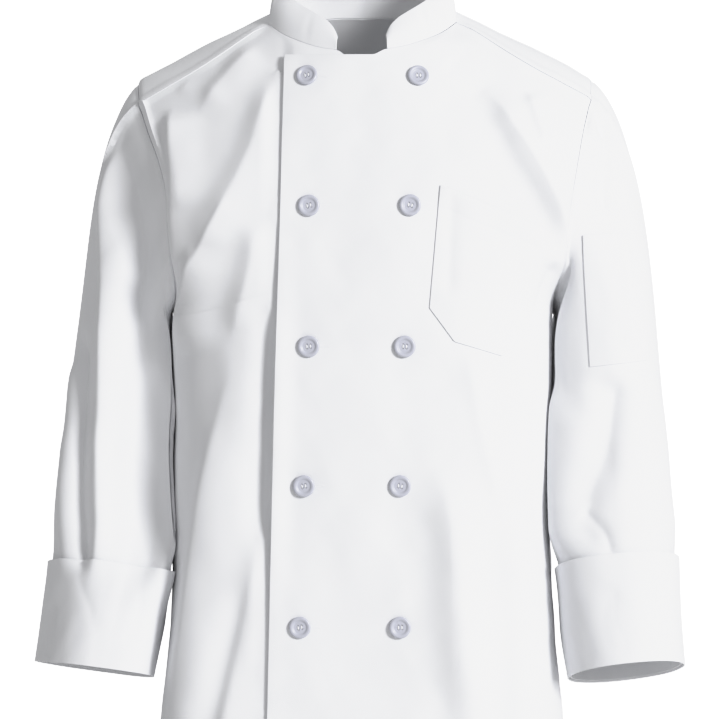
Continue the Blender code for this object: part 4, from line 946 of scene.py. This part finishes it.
def over_lift(flat):
    """Lift of the over front, in metres, with what clears the under one."""
    large = calm_cells(folds_at(flat, LARGE_FRONT_FOLDS["left"]), ("bottom", "start"))
    small = folds_at(flat, FINE_FRONT_FOLDS["left"]) + button_dimples(flat)
    small = small + worn(flat[..., 0], flat[..., 2], "over")
    small = small * calm_near(flat, ("top", "end")) + edge_stands_off(flat)
    return (large + (small + front_seams("left", flat))) * MM + lap_raise(flat)


def under_lift(flat):
    """Lift of the under front, in metres. Past the over front's edge it takes that front's folds,
    so that the two stay apart, and its own ridges end before the edge."""
    own = calm_cells(folds_at(flat, LARGE_FRONT_FOLDS["right"]), ("bottom", "start"))
    small = folds_at(flat, FINE_FRONT_FOLDS["right"]) + worn(flat[..., 0], flat[..., 2], "under")
    own = own + small * calm_near(flat, ("top", "end"))
    over = folds_at(flat, LARGE_FRONT_FOLDS["left"], FINE_FRONT_FOLDS["left"])
    over = (over + worn(flat[..., 0], flat[..., 2], "over")) * calm_near(flat, ("top",))
    past_edge = flat[..., 0] - lap_edge("left", flat[..., 2])
    ridge_ends = ease((past_edge + RIDGE_ENDS_BEFORE) / RIDGE_ENDS_OVER)
    hollow_ends = ease((past_edge + HOLLOW_ENDS_BEFORE) / HOLLOW_ENDS_OVER)
    under_lap = np.where(own > 0, ridge_ends, hollow_ends)
    return (own * (1 - under_lap) + over * under_lap + front_seams("right", flat)) * MM


def back_lift(flat):
    """Lift of the back, in metres: its folds behind the ridge, and the turned-in edge that it
    lays over the fronts at the shoulder seams."""
    behind = ease(flat[..., 1] / BACK_FOLDS_START)
    large = calm_cells(folds_at(flat, LARGE_BACK_FOLDS) * behind, ("bottom",))
    small = folds_at(flat, FINE_BACK_FOLDS) * behind
    small = small + worn(flat[..., 0] + flat[..., 1], flat[..., 2], "back")
    small = small * calm_near(flat, ("top", "start", "end"))
    height, width, fall = SHOULDER_FOLD
    columns = np.arange(flat.shape[1])[None, :]
    on_shoulder = ease((np.abs(columns - flat.shape[1] // 2) - NECK_CELLS) / ACROSS_FINER)
    edge = height * (1 - ease((distance_from(flat, "top") - width) / fall)) * on_shoulder
    seams = seam_dip("right", flat, "start") + seam_dip("left", flat, "end")
    return (large + small + edge + seams) * MM


# ---------------------------------------------------------------- sleeves
def armhole_loop(name, front, back):
    """Armhole points and normals round from the forward shoulder seam down the front, under the
    arm and up the back, taken from the panels' own borders."""
    column = -1 if name == "left" else 0
    return [np.concatenate((front[k][SIDE_ROWS:, -1][::-1], back[k][SIDE_ROWS:, column][1:-1]))
            for k in (0, 1)]


def arm_ring(name, height, turn):
    """Points of a sleeve's ring, turn 0 outside, 90 in front, 180 towards the torso, tipped out
    and forward. Its two front quarters are the squarer curves cos^power + sin^power = 1. Past
    SKEW_STARTS of the half width inward the front comes forward by skew * inward^1.5 * sin^0.5.
    Where the ring would reach into the torso, it lies against it with the clearance between."""
    rows = SLEEVES[name][::-1]
    across, forward, wide, deep, leans_out, leans_forward, inner, outer, skew, widens = (
        table(rows, column, height) for column in range(1, 11))
    out_angle, forward_angle = np.radians(leans_out), np.radians(leans_forward)
    cosine, sine = np.cos(turn), np.sin(turn)
    power = np.where(sine > 0, np.where(cosine < 0, inner, outer), 2.0)
    squarer = (np.abs(cosine) ** power + np.abs(sine) ** power) ** (-1 / power)
    out = wide * cosine * squarer * np.where(cosine < 0, widens, 1)
    inward = np.maximum(-cosine * squarer - SKEW_STARTS, 0)
    ahead = deep * sine * squarer + skew * inward ** 1.5 * np.maximum(sine, 0) ** 0.5
    x = across + out * np.cos(out_angle)
    y = -forward - ahead * np.cos(forward_angle)
    z = height + out * np.sin(out_angle) + ahead * np.sin(forward_angle)
    under_cuff = ease((CUFF_TOP[name] + UNDER_CUFF_OVER - height) / UNDER_CUFF_OVER)
    gap = half_width(y, z) + ARM_CLEARANCE + UNDER_CUFF * under_cuff - x
    x = x + 0.5 * (gap + np.hypot(gap, CLEARANCE_ROUND)) * (z < CLEAR_UNDER)
    return np.stack((x, y, z), axis=-1)


def sleeve_form(name, loop):
    """Smooth sleeve: a cap of cubic curves from the armhole to the first ring, then rings down."""
    mirror = (SIDES[name], 1, 1)
    loop = loop * mirror
    turn = np.arange(len(loop)) / len(loop) * 2 * math.pi
    out, back, down, leaving, entering = (
        table(CAP[name], column, np.degrees(turn)) for column in range(1, 6))
    heights = SLEEVES[name][:, 0]
    first, below = (arm_ring(name, np.full(len(turn), height), turn)
                    for height in (heights[0], heights[0] - ENTERS_OVER))
    leave = unit(np.stack((out, back, -down), axis=1))
    a, b = loop, loop + leave * leaving[:, None]
    c, d = first + unit(first - below) * entering[:, None], first
    t = np.linspace(0, 1, CAP_ROWS + 1)[:, None, None]
    cap = (1 - t) ** 3 * a + 3 * t * (1 - t) ** 2 * b + 3 * t * t * (1 - t) * c + t ** 3 * d
    lower = np.stack([arm_ring(name, np.full(len(turn), height), turn)
                      for height in np.linspace(heights[0], heights[-1], ARM_RINGS + 1)[1:]])
    grid = np.concatenate((cap, lower))
    gap = half_width(grid[..., 1], grid[..., 2]) + ARM_CLEARANCE - grid[..., 0]
    clear = ease(np.arange(len(grid)) / CLEAR_ROWS)[:, None] * (grid[..., 2] < CAP_CLEAR_UNDER)
    grid[1:CAP_ROWS, :, 0] += (np.maximum(gap, 0) * clear)[1:CAP_ROWS]
    return grid * mirror


def grid_normals(grid, sign):
    """Normals of a tube's grid from its neighbours round and along."""
    round_it = np.roll(grid, -1, axis=1) - np.roll(grid, 1, axis=1)
    along = np.gradient(grid, axis=0)
    return unit(np.cross(along, round_it) * sign)


def mitre(a, b):
    """Shared offset of two walls that meet with normals a and b, kept short at sharp folds."""
    return (a + b) / np.maximum(1 + (a * b).sum(-1, keepdims=True), SHARPEST_MITRE)


def set_armhole_offsets(name, front, back, offsets):
    """Gives the panels' armhole borders the offsets that they share with the sleeve, and turns the
    offsets beside them, mixed by 1 - ease(away / reach)."""
    column, border = (-1, "end") if name == "left" else (0, "start")
    down_front, up_back = offsets[:ARM_ROWS + 1], np.concatenate((offsets[ARM_ROWS:], offsets[:1]))
    for (grid, out), at, side, rows in ((front, -1, "end", down_front[::-1]),
                                        (back, column, border, up_back)):
        turn = np.zeros((len(out), 1, 3))
        turn[SIDE_ROWS:, 0] = rows - out[SIDE_ROWS:, at]
        out += turn * (1 - ease(distance_from(grid, side) / MITRE_REACH))[..., None]


def sleeve(name, front, back):
    """Outer points and offsets of a sleeve. The armhole's offsets go to the panels as well."""
    loop, loop_normals = armhole_loop(name, front, back)
    grid = sleeve_form(name, loop)
    out = grid_normals(grid, -SIDES[name])
    down = distance_from(grid, "bottom")
    turn = np.arange(grid.shape[1]) * 360 / grid.shape[1]
    flat_half, grows_over = UNDER_ARM
    no_ridge = ease((np.abs(turn - 180) - flat_half) / grows_over)
    large, small = (folds_round(folds[name], grid, SLEEVE_FOLD_FADE)
                    for folds in (LARGE_SLEEVE_FOLDS, FINE_SLEEVE_FOLDS))
    around = SLEEVE_WAVE_RADIUS * np.radians(turn) + 0 * grid[..., 2]
    ends = ease(turn / WAVES_MEET), ease((360 - turn) / WAVES_MEET)
    small = (small + worn(around, grid[..., 2], name) * ends[0] * ends[1]) * ease(down / FINE_CALM)
    lift = large * ease(np.arange(len(grid)) / CALM_ROWS)[:, None] + small
    lift = np.where(lift > 0, lift * no_ridge, lift)
    depth, width = SEAM_SINKS[name]
    above_armpit = ease(np.abs(np.arange(grid.shape[1]) - ARM_ROWS) / ALONG_FINER)
    dip = -depth * bell(down, width) * above_armpit
    dip[0] = 0
    dip_way = unit(loop_normals + (out - loop_normals) * ease(down / width)[..., None])
    shared = mitre(loop_normals, out[0])
    offsets = out + (shared - out[0]) * (1 - ease(down / MITRE_REACH))[..., None]
    set_armhole_offsets(name, front, back, shared)
    return grid + (out * lift[..., None] + dip_way * dip[..., None]) * MM, offsets


# ---------------------------------------------------------------- walls
def drawn_in(grid, gap, borders):
    """A grid's borders moved towards their neighbour row or column by a gap."""
    grid = grid.copy()
    for border in borders:
        rows = from_border(grid, border)
        rows[0] += gap * unit(rows[1] - rows[0])
    return grid


def cloth_lengths(grid):
    """Cloth coordinates of a grid in metres: length walked along each row from its middle column,
    and along the columns from the bottom, the mean of all columns."""
    u = distance_from(grid, "start")
    u = u - u[:, [grid.shape[1] // 2]]
    v = np.broadcast_to(distance_from(grid, "bottom").mean(axis=1, keepdims=True), u.shape)
    return np.stack((u, v), axis=-1)


def mesh_object(name, points, faces, finish):
    """An object at the origin with its finish, its faces as lists of point numbers."""
    mesh = bpy.data.meshes.new(name)
    mesh.from_pydata(points.reshape(-1, 3).tolist(), [], faces)
    mesh.update()
    mesh.materials.append(finish)
    thing = bpy.data.objects.new(name, mesh)
    bpy.context.scene.collection.objects.link(thing)
    return thing


def mesh_piece(name, points, faces, finish, lengths=None, sharp=50):
    """A smooth-shaded piece of the jacket with sharp edges past an angle, its cloth coordinates
    kept as a UV map."""
    thing = mesh_object(name, points, faces.tolist(), finish)
    mesh = thing.data
    mesh.shade_smooth()
    mesh.set_sharp_from_angle(angle=math.radians(sharp))
    if lengths is not None:
        corners = np.empty(len(mesh.loops), dtype=np.int32)
        mesh.loops.foreach_get("vertex_index", corners)
        uv = mesh.uv_layers.new(name="cloth")
        uv.uv.foreach_set("vector", lengths.reshape(-1, 2)[corners].astype(np.float32).ravel())
    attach(thing, "root")
    return thing


def wall(node, outer, out, finish, borders=(), ring=False, gap=SEAM_GAP / 2, flip=False,
         thick=CLOTH):
    """A closed wall in place of a node, between a grid and its copy moved in along the offsets,
    with a rim along each free border. A ring's last column meets its first."""
    lengths = cloth_lengths(closed(outer))[:, :-1] if ring else cloth_lengths(outer)
    inner = outer - out * thick
    outer, inner = drawn_in(outer, gap, borders), drawn_in(inner, gap, borders)
    index = closed(numbers(outer)) if ring else numbers(outer)
    under = index + outer[..., 0].size
    faces = [cells(index), cells(under)[:, ::-1]]
    faces += [cells(np.stack((under[0], index[0]))), cells(np.stack((index[-1], under[-1])))]
    if not ring:
        faces += [cells(np.stack((index[:, 0], under[:, 0]))),
                  cells(np.stack((under[:, -1], index[:, -1])))]
    faces = np.concatenate(faces)
    thing = mesh_piece(node + "_cloth", np.concatenate((outer, inner)),
                       faces[:, ::-1] if flip else faces, finish,
                       np.concatenate((lengths, lengths)))
    rim = thing.modifiers.new("rim", "BEVEL")
    rim.width = RIM_ROUND
    rim.segments = 2
    rim.limit_method = "ANGLE"
    rim.angle_limit = math.radians(RIM_ANGLE)
    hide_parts(node)


# ---------------------------------------------------------------- sewing
def spots_on(grid, out, across, height):
    """Rows and columns of a grid's places seen from the front: the nearest front-facing point of
    some rows and columns, then half Newton steps on the straight form between points."""
    near, faces = grid[::SPOTS_THIN, ::SPOTS_THIN], out[::SPOTS_THIN, ::SPOTS_THIN, 1] < 0
    wanted = np.stack((across, height), -1)
    candidates = near[faces][:, ::2]
    away = np.linalg.norm(wanted.reshape(-1, 1, 2) - candidates, axis=-1).argmin(-1)
    rows, columns = (at[away].reshape(across.shape) * float(SPOTS_THIN) for at in np.nonzero(faces))
    for _ in range(SPOT_PASSES):
        here = sample(grid, rows, columns)[..., ::2]
        by_row = sample(grid, rows + 0.5, columns)[..., ::2] - here
        by_column = sample(grid, rows, columns + 0.5)[..., ::2] - here
        miss = wanted - here
        area = cross(by_row, by_column)
        area = np.where(np.abs(area) < 1e-12, 1e-12, area)
        up = np.clip(cross(miss, by_column) / area, -SPOT_STEP, SPOT_STEP)
        on = np.clip(cross(by_row, miss) / area, -SPOT_STEP, SPOT_STEP)
        rows = np.clip(rows + 0.5 * up, 0, grid.shape[0] - 1.001)
        columns = np.clip(columns + 0.5 * on, 0, grid.shape[1] - 1.001)
    return rows, columns


def inset_line(grid, border, away):
    """Rows and columns of a line beside a border of a grid, at a distance walked from it."""
    walked = from_border(distance_from(grid, border), border)
    passed = np.clip((walked < away).sum(axis=0), 1, len(walked) - 1)
    i = np.arange(walked.shape[1])
    low, high = walked[passed - 1, i], walked[passed, i]
    place = passed - 1 + (away - low) / (high - low)
    if border in ("top", "end"):
        place = len(walked) - 1 - place
    line = (place, i.astype(float))
    return line if border in ("bottom", "top") else line[::-1]


def capsules(starts, ends, ups, radius, sinks):
    """Many short threads at once: rings of four points at the two ends and near them, each a
    square turned on its corner round the line from start to end. Ring sizes and depths come from
    one short table."""
    run = unit(ends - starts)
    beside = unit(np.cross(run, ups))
    over = np.cross(beside, run)
    turn = np.arange(4) * math.pi / 2
    rings = []
    for share, size, sunk in THREAD_SHAPE:
        middle = starts + (ends - starts) * share - over * radius * (sinks + sunk)
        rings.append(middle[:, None] + radius * size * (
            np.cos(turn)[None, :, None] * beside[:, None]
            + np.sin(turn)[None, :, None] * over[:, None]))
    points = np.stack(rings, axis=1)
    index = numbers(points[0])
    one = np.concatenate((cells(closed(index))[:, ::-1], index[:1], index[-1:, ::-1]))
    faces = (one[None] + index.size * np.arange(len(starts))[:, None, None]).reshape(-1, 4)
    return points.reshape(-1, 3), faces


def sewn_line(grid, out, border, away, start=0, stop=None):
    """A line of stitches beside a border of a grid: their starts, ends and ways up."""
    rows, columns = (v[start:stop] for v in inset_line(grid, border, away))
    line, ups = sample(grid, rows, columns), unit(sample(out, rows, columns))
    walked = reach(line)
    first = np.arange(STITCH_PITCH / 2, walked[-1] - STITCH_PITCH, STITCH_PITCH)
    ends = (at_lengths(first + on, walked, line) for on in (0, STITCH))
    return *ends, unit(at_lengths(first + STITCH / 2, walked, ups))


def stitches(name, lines, finish, radius=THREAD):
    """One piece of all the stitches of some lines."""
    starts, ends, ups = (np.concatenate(parts) for parts in zip(*lines))
    points, faces = capsules(starts, ends, ups, radius, STITCH_SINKS)
    mesh_piece(name, points, faces, finish, sharp=80)


# ---------------------------------------------------------------- pockets, collar and cuffs
def pocket(name, base, out, finish):
    """A patch pocket and its stitches: a grid between a bottom run and a top run of corners in the
    front view, laid on a panel's outer face and moved out by the seam's gap and its cloth. Its
    mouth stands off by depth * ease(height) * sin(pi across)^0.5, and its hem is proud."""
    top, bottom = (np.array(run) for run in POCKETS[name])
    columns = int(np.linalg.norm(top[-1] - top[0]) / POCKET_CELL)
    rows = int(np.linalg.norm(top[0] - bottom[0]) / POCKET_CELL)
    t = np.linspace(0, 1, rows + 1)[:, None, None]
    view = (1 - t) * stepped(bottom, columns) + t * stepped(top, columns)
    at = spots_on(base, out, view[..., 0], view[..., 1])
    flat, ups = sample(base, *at), unit(sample(out, *at))
    from_top = distance_from(flat, "top")
    mouth, mouth_height = POCKET_MOUTH
    proud, hem_height, fall = POCKET_HEM
    bow = np.sin(math.pi * np.linspace(0, 1, columns + 1))[None, :] ** 0.5
    lift = mouth * ease(1 - from_top / mouth_height) * bow
    lift = lift + proud * (1 - ease((from_top - hem_height) / fall))
    waves = worn(view[..., 0], view[..., 1], name) * POCKET_WAVES
    waves = np.maximum(waves, 0) * calm_near(flat, ("bottom", "start", "end"))
    raised = (lift + waves) * MM + SEAM_GAP + POCKET_CLOTH
    outer = flat + ups * raised[..., None]
    wall(name, outer, ups, finish, thick=POCKET_CLOTH)
    edge = POCKET_STITCHES
    return [sewn_line(outer, ups, border, away) for border, away in (
        ("bottom", edge), ("start", edge), ("end", edge), ("top", hem_height - edge), ("top", edge))]


def build_collar(fronts, back, finish):
    """Stand collar on the neck's border, and its stitches: each point of its foot goes up and leans
    in, with a crown of sin(pi share) up its height and upright creases of
    depth * exp(-(away / width)^2)."""
    right, left = (fronts[name][0][-1, LAP_CELLS:LAP_CELLS + NECK_CELLS + 1] for name in SIDES)
    middle = back[0][-1, SHOULDER_CELLS:SHOULDER_CELLS + 2 * NECK_CELLS + 1]
    foot = joined(right, middle, left[::-1])
    tangent = unit(np.gradient(foot, axis=0) * (1, 1, 0))
    inward = np.stack((tangent[:, 1], -tangent[:, 0], np.zeros(len(foot))), axis=1)
    inward *= np.sign(-(foot * inward).sum(1, keepdims=True))
    walked = reach(foot)
    along = np.minimum(walked, walked[-1] - walked)
    lean = np.radians(table(COLLAR_LEAN, 1, along))
    up = np.cos(lean)[:, None] * (0, 0, 1) + np.sin(lean)[:, None] * inward
    out = np.sin(lean)[:, None] * np.array((0, 0, 1)) - np.cos(lean)[:, None] * inward
    share = np.linspace(0, 1, COLLAR_ROWS + 1)[:, None]
    outer = foot + up * (COLLAR_GAP + share * table(COLLAR_HEIGHTS, 1, along))[..., None]
    crease = sum(depth * bell(foot[:, 0] - place, width) * (foot[:, 1] < 0)
                 for place, depth, width in COLLAR_CREASES)
    crease = crease * np.sin(math.pi * share)
    outer = outer + out * (COLLAR_CROWN * np.sin(math.pi * share) + crease * MM)[..., None]
    out = np.broadcast_to(out, outer.shape)
    wall("collar", outer, out, finish, flip=True)
    return [sewn_line(outer, out, "top", COLLAR_STITCHES)]


def build_cuff(name, grid, out, finish):
    """Turned-back cuff and its stitches: the sleeve's lower points moved out, standing off more at
    its top by the square of the share up, with its own dents."""
    heights = SLEEVES[name][:, 0]
    height = np.linspace(CUFF_TOP[name], heights[-1], CUFF_ROWS + 1)
    rows = CAP_ROWS + (heights[0] - height) / (heights[0] - heights[-1]) * ARM_RINGS
    low = np.minimum(rows.astype(int), len(grid) - 2)
    share = (rows - low)[:, None, None]
    base, away = (v[low] * (1 - share) + v[low + 1] * share for v in (grid, out))
    proud = SEAM_GAP + CLOTH + CUFF_PROUD + CUFF_STANDS_OUT * np.linspace(1, 0, CUFF_ROWS + 1) ** 2
    dents = folds_round(CUFF_FOLDS[name], base)
    dents = np.maximum(dents, -DEEPEST_DENT * (proud[:, None] - SEAM_GAP - CLOTH) / MM)
    away = unit(away)
    outer = base + away * (proud[:, None] + dents * MM)[..., None]
    gap = half_width(outer[..., 1], outer[..., 2]) + CUFF_CLEARANCE - np.abs(outer[..., 0])
    outer[..., 0] += np.sign(outer[..., 0]) * np.maximum(gap, 0)
    wall("cuff_" + name, outer, away, finish, ring=True, flip=name == "right")
    return [sewn_line(closed(outer), closed(away), border, CUFF_STITCHES)
            for border in ("bottom", "top")]


def build_sleeve(name, grid, out, finish):
    """The sleeve's wall, which ends inside the cuff."""
    grid = grid.copy()
    grid[-1] += SLEEVE_STOPS_SHORT * unit(grid[-2] - grid[-1])
    wall("sleeve_" + name, grid, out, finish, borders=("bottom",), ring=True,
         gap=SEAM_GAP + SLEEVE_SEAM_OPEN[name], flip=name == "right")


# ---------------------------------------------------------------- buttons
def button_form():
    """A turned button with four holes: the section carried round, less a soft-edged dip
    depth * (1 - ease((away - radius / 2) / radius)) at each hole of the top face."""
    row = np.linspace(0, BUTTON_SECTION[-1, 0], BUTTON_RINGS)
    form = turned(table(BUTTON_SECTION, 1, row), table(BUTTON_SECTION, 2, row), BUTTON_AROUND)
    place, size, depth = HOLE
    away = np.hypot(np.abs(form[..., 0]) - place, np.abs(form[..., 1]) - place)
    on_top = (row < BUTTON_TOP)[:, None]
    form[..., 2] -= depth * (1 - ease((away - size / 2) / size)) * on_top
    return form


def build_buttons(outer, out, plastic, thread):
    """Buttons on the over front, each level with the cloth under it, sewn through their holes by
    two pairs of strands."""
    form = button_form()
    faces = cells(closed(numbers(form)))[:, ::-1]
    spots, directions = outer.reshape(-1, 3), out.reshape(-1, 3)
    strands = []
    place = HOLE[0]
    seed, most = BUTTON_TURNS
    dice = np.random.default_rng(seed)
    level = BUTTON_SECTION[0, 2] + BUTTON_THREAD * STRAND_RISES
    places = [(across, height) for height, *row in BUTTON_ROWS for across in row]
    for number, (across, height) in enumerate(places, 1):
        away = np.hypot(spots[:, 0] - across, spots[:, 2] - height)
        under = away < BUTTON_RADIUS * UNDER_BUTTON
        up = unit(directions[under].mean(axis=0))
        middle = torso(*angles(across, height))
        foot = middle + up * (((spots[under] - middle) @ up).max() + SEAM_GAP)
        tilt = dice.uniform(-most, most)
        side = unit(np.cross(up, (math.sin(tilt), 0, -math.cos(tilt))))
        axes = np.stack((side, np.cross(up, side), up))
        thing = mesh_piece(f"button_{number}_face", foot + form @ axes, faces, plastic, sharp=35)
        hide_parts(f"button_{number}")
        for x in (-1, 1):
            for beside in STRANDS_BESIDE:
                ends = np.array([(x * place + beside * BUTTON_THREAD, y * place * STRAND_REACH, level)
                                 for y in (-1, 1)])
                strands.append((*(foot + ends @ axes), up))
    points, faces = capsules(*(np.array(v) for v in zip(*strands)), BUTTON_THREAD, 0)
    mesh_piece("button_thread", points, faces, thread, sharp=80)


def buttonhole_lines(outer, out):
    """Buttonholes of the lapping side: bars of thread across a slit, close together, with longer
    ones at both ends. Gives their starts, ends and ways up."""
    first, last, half, pitch = BUTTONHOLE
    low, high, long, close = BUTTONHOLE_BARS
    bars = []
    for height, across, _ in BUTTON_ROWS:
        places = across + np.arange(first, last, pitch)
        bars += [(places, height + way * half * low, height + way * half * high) for way in (-1, 1)]
        for place in (across + first, across + last):
            bar = place + np.array((-1, 0, 1)) * pitch * close
            bars.append((bar, height - half * long, height + half * long))
    across, start, end = np.concatenate([np.broadcast_arrays(*bar) for bar in bars], axis=1)
    starts, ends = spots_on(outer, out, across, start), spots_on(outer, out, across, end)
    return sample(outer, *starts), sample(outer, *ends), unit(sample(out, *starts))


# ---------------------------------------------------------------- finishes
class Wire:
    """One socket of a finish's nodes. Sums and products of wires and numbers add Math nodes."""

    def __init__(self, tree, socket=None):
        self.tree = tree
        self.socket = socket

    def node(self, kind, settings=None, inputs=None, output=0):
        """Adds a node: its settings first, then the values or wires of its sockets."""
        made = self.tree.nodes.new(kind)
        for name, value in (settings or {}).items():
            setattr(made, name, value)
        for name, value in (inputs or {}).items():
            if isinstance(value, Wire):
                self.tree.links.new(value.socket, made.inputs[name])
            else:
                made.inputs[name].default_value = value
        return Wire(self.tree, made.outputs[output])

    def maths(self, operation, *values):
        return self.node("ShaderNodeMath", {"operation": operation}, dict(enumerate(values)))

    def __add__(self, other):
        return self.maths("ADD", self, other)

    def __mul__(self, other):
        return self.maths("MULTIPLY", self, other)

    __radd__, __rmul__ = __add__, __mul__

    def noise(self, name):
        """Noise of the table at the piece's own coordinates."""
        scale, detail, roughness = NOISES[name]
        place = self.node("ShaderNodeTexCoord", output="Object")
        return self.node("ShaderNodeTexNoise", None, {
            "Vector": place, "Scale": scale, "Detail": detail, "Roughness": roughness})

    def mix(self, factor, low, high):
        """A colour from low to high by a factor."""
        return self.node("ShaderNodeMix", {"data_type": "RGBA"},
                         {"Factor": factor, 6: (*low, 1.0), 7: (*high, 1.0)}, output=2)

    def bump(self, height, strength=1.0):
        """A normal bent by a height in metres."""
        return self.node("ShaderNodeBump", None,
                         {"Height": height, "Distance": 1.0, "Strength": strength})


def new_finish(name, **constants):
    """A finish with constants on its shader's own sockets. Gives the finish, a wire to grow nodes
    from, and what joins a wire to a socket of its shader."""
    made = bpy.data.materials.new(name)
    made.use_nodes = True
    tree = made.node_tree
    shader = tree.nodes["Principled BSDF"]
    for socket, value in constants.items():
        shader.inputs[socket.replace("_", " ")].default_value = value

    def plug(socket, wire):
        tree.links.new(wire.socket, shader.inputs[socket])

    return made, Wire(tree), plug


def twill_finish():
    """White twill: ribs sin(u + v) along the cloth's diagonal, broken up by fine noise along the
    yarn, and a faint cloudiness of the white."""
    made, wire, plug = new_finish("white_twill", Sheen_Weight=0.12, Sheen_Roughness=0.45,
                                  Specular_IOR_Level=0.28)
    cloth = wire.node("ShaderNodeUVMap", {"uv_map": "cloth"})
    u = wire.node("ShaderNodeSeparateXYZ", None, {0: cloth})
    v = Wire(u.tree, u.socket.node.outputs[1])
    ribs = wire.maths("SINE", (u * RIB_SLANT + v) * (2 * math.pi / TWILL_PITCH))
    yarn = wire.noise("yarn")
    plug("Normal", wire.bump(ribs * RIB_HEIGHT + yarn * YARN_HEIGHT, 0.5))
    plug("Base Color", wire.mix(wire.noise("cloudiness"), WHITE_LIT, WHITE_WORN))
    plug("Roughness", yarn * TWILL_ROUGHENS + TWILL_ROUGHNESS)
    return made


def thread_finish():
    """Twisted sewing thread: fine slanted ribs and a little more gloss than the cloth."""
    made, wire, plug = new_finish("white_thread", Roughness=0.6, Sheen_Weight=0.2,
                                  Specular_IOR_Level=0.4)
    twist = wire.noise("twist")
    plug("Normal", wire.bump(twist * TWIST_HEIGHT))
    plug("Base Color", wire.mix(twist, WHITE_LIT, WHITE_WORN))
    return made


def button_finish():
    """Pale grey moulded plastic: faint cloudiness, roughness between satin and matt from fine
    scuffs."""
    made, wire, plug = new_finish("grey_button", Specular_IOR_Level=0.5, Coat_Weight=0.15,
                                  Coat_Roughness=0.2)
    scuffs = wire.noise("scuffs")
    plug("Base Color", wire.mix(wire.noise("blotches"), GREY_DEEP, GREY_PALE))
    plug("Roughness", scuffs * BUTTON_ROUGHENS + BUTTON_ROUGHNESS)
    plug("Normal", wire.bump(scuffs * SCUFF_HEIGHT))
    return made


# ---------------------------------------------------------------- light, floor and camera
def round_off_highlights():
    """Plain colours up to about 0.8, then a film's soft bend up to the brightest light."""
    shown = bpy.context.scene.view_settings
    shown.view_transform = "Standard"
    shown.use_curve_mapping = True
    mapping = shown.curve_mapping
    brightest = HIGHLIGHTS[-1][0]
    mapping.white_level = (brightest,) * 3
    for light, value in HIGHLIGHTS[1:-1]:
        mapping.curves[3].points.new(light / brightest, value)
    mapping.update()


def stand_at(place, thing):
    """A lamp or camera on a stand of its own name."""
    stand = bpy.data.objects.new(thing.name, thing)
    stand.location = place
    bpy.context.scene.collection.objects.link(stand)
    return stand


def light_the_scene():
    """A large soft key from the right, a weak soft light from behind and a pale sky, which is
    plain white where nothing else shows."""
    for number, (place, aim, size, watts) in enumerate(LAMPS):
        lamp = bpy.data.lights.new(f"lamp_{number}", "AREA")
        lamp.energy = watts
        lamp.size = size
        way = Vector(aim) - Vector(place)
        stand_at(place, lamp).rotation_euler = way.to_track_quat("-Z", "Y").to_euler()
    world = bpy.data.worlds.new("pale_studio")
    world.use_nodes = True
    bpy.context.scene.world = world
    sky = world.node_tree.nodes["Background"]
    sky.inputs["Color"].default_value = (1.0, 1.0, 1.0, 1.0)
    seen = Wire(world.node_tree).node("ShaderNodeLightPath")
    strength = seen * (BACKDROP - SKY) + SKY
    world.node_tree.links.new(strength.socket, sky.inputs["Strength"])


def floor():
    """A plain pale round floor whose rim turns down: a section carried round."""
    points = turned(FLOOR_SECTION[:, 0], FLOOR_SECTION[:, 1] + FLOOR, FLOOR_AROUND)
    index = numbers(points)
    faces = cells(closed(index))[:, ::-1].tolist() + [list(index[0])]
    pale = new_finish("pale_floor", Roughness=0.9, Base_Color=PALE_FLOOR)[0]
    mesh_object("floor", points, faces, pale)


def camera():
    """Level camera straight ahead of the jacket, at the height of its middle."""
    lens = bpy.data.cameras.new("camera")
    lens.sensor_width = 36.0
    lens.lens = CAMERA_LENS
    stand = stand_at(CAMERA_PLACE, lens)
    stand.rotation_euler = (math.pi / 2, 0, 0)
    bpy.context.scene.camera = stand


# ---------------------------------------------------------------- the jacket
def main():
    """Shapes the panels and sleeves, builds every piece and its sewing, and lights them."""
    camera()
    twill, thread, plastic = twill_finish(), thread_finish(), button_finish()
    left = draped(front_angles("left"), over_lift)
    fronts = {"right": draped(front_angles("right"), under_lift), "left": left}
    back = draped(back_angles(), back_lift)
    sewn = {"body": [], "collar": [], "cuffs": [], "pockets": []}
    arms = {name: sleeve(name, fronts[name], back) for name in SIDES}
    for name, arm in arms.items():
        build_sleeve(name, *arm, twill)
        sewn["cuffs"] += build_cuff(name, *arm, twill)
    for name, panel, borders in (("front_left", left, ("top", "end")),
                                 ("front_right", fronts["right"], ("top", "end")),
                                 ("back", back, ("top", "start", "end"))):
        wall(name, *panel, twill, borders=borders, flip=name != "front_left")
        sewn["body"].append(sewn_line(panel[0], unit(panel[1]), "bottom", HEM_STITCHES))
    sewn["body"].append(sewn_line(*left, "start", EDGE_STITCHES))
    sewn["body"].append(sewn_line(*left, "top", EDGE_STITCHES, stop=LAP_CELLS - ACROSS_FINER))
    for columns in ((0, SHOULDER_CELLS), (-SHOULDER_CELLS - 1, None)):
        sewn["body"] += [sewn_line(*back, "top", away, *columns) for away in SHOULDER_STITCHES]
    sewn["body"] += [sewn_line(*back, border, SIDE_STITCHES, stop=SIDE_ROWS)
                     for border in ("start", "end")]
    sewn["collar"] += build_collar(fronts, back, twill)
    sewn["pockets"] += pocket("chest_pocket", *left, twill)
    sewn["pockets"] += pocket("sleeve_pocket", *map(closed, arms["left"]), twill)
    for name, lines in sewn.items():
        stitches(name + "_stitches", lines, thread)
    stitches("buttonholes", [buttonhole_lines(*left)], thread, BUTTONHOLE_THREAD)
    build_buttons(*left, plastic, thread)
    light_the_scene()
    round_off_highlights()
    floor()


main()
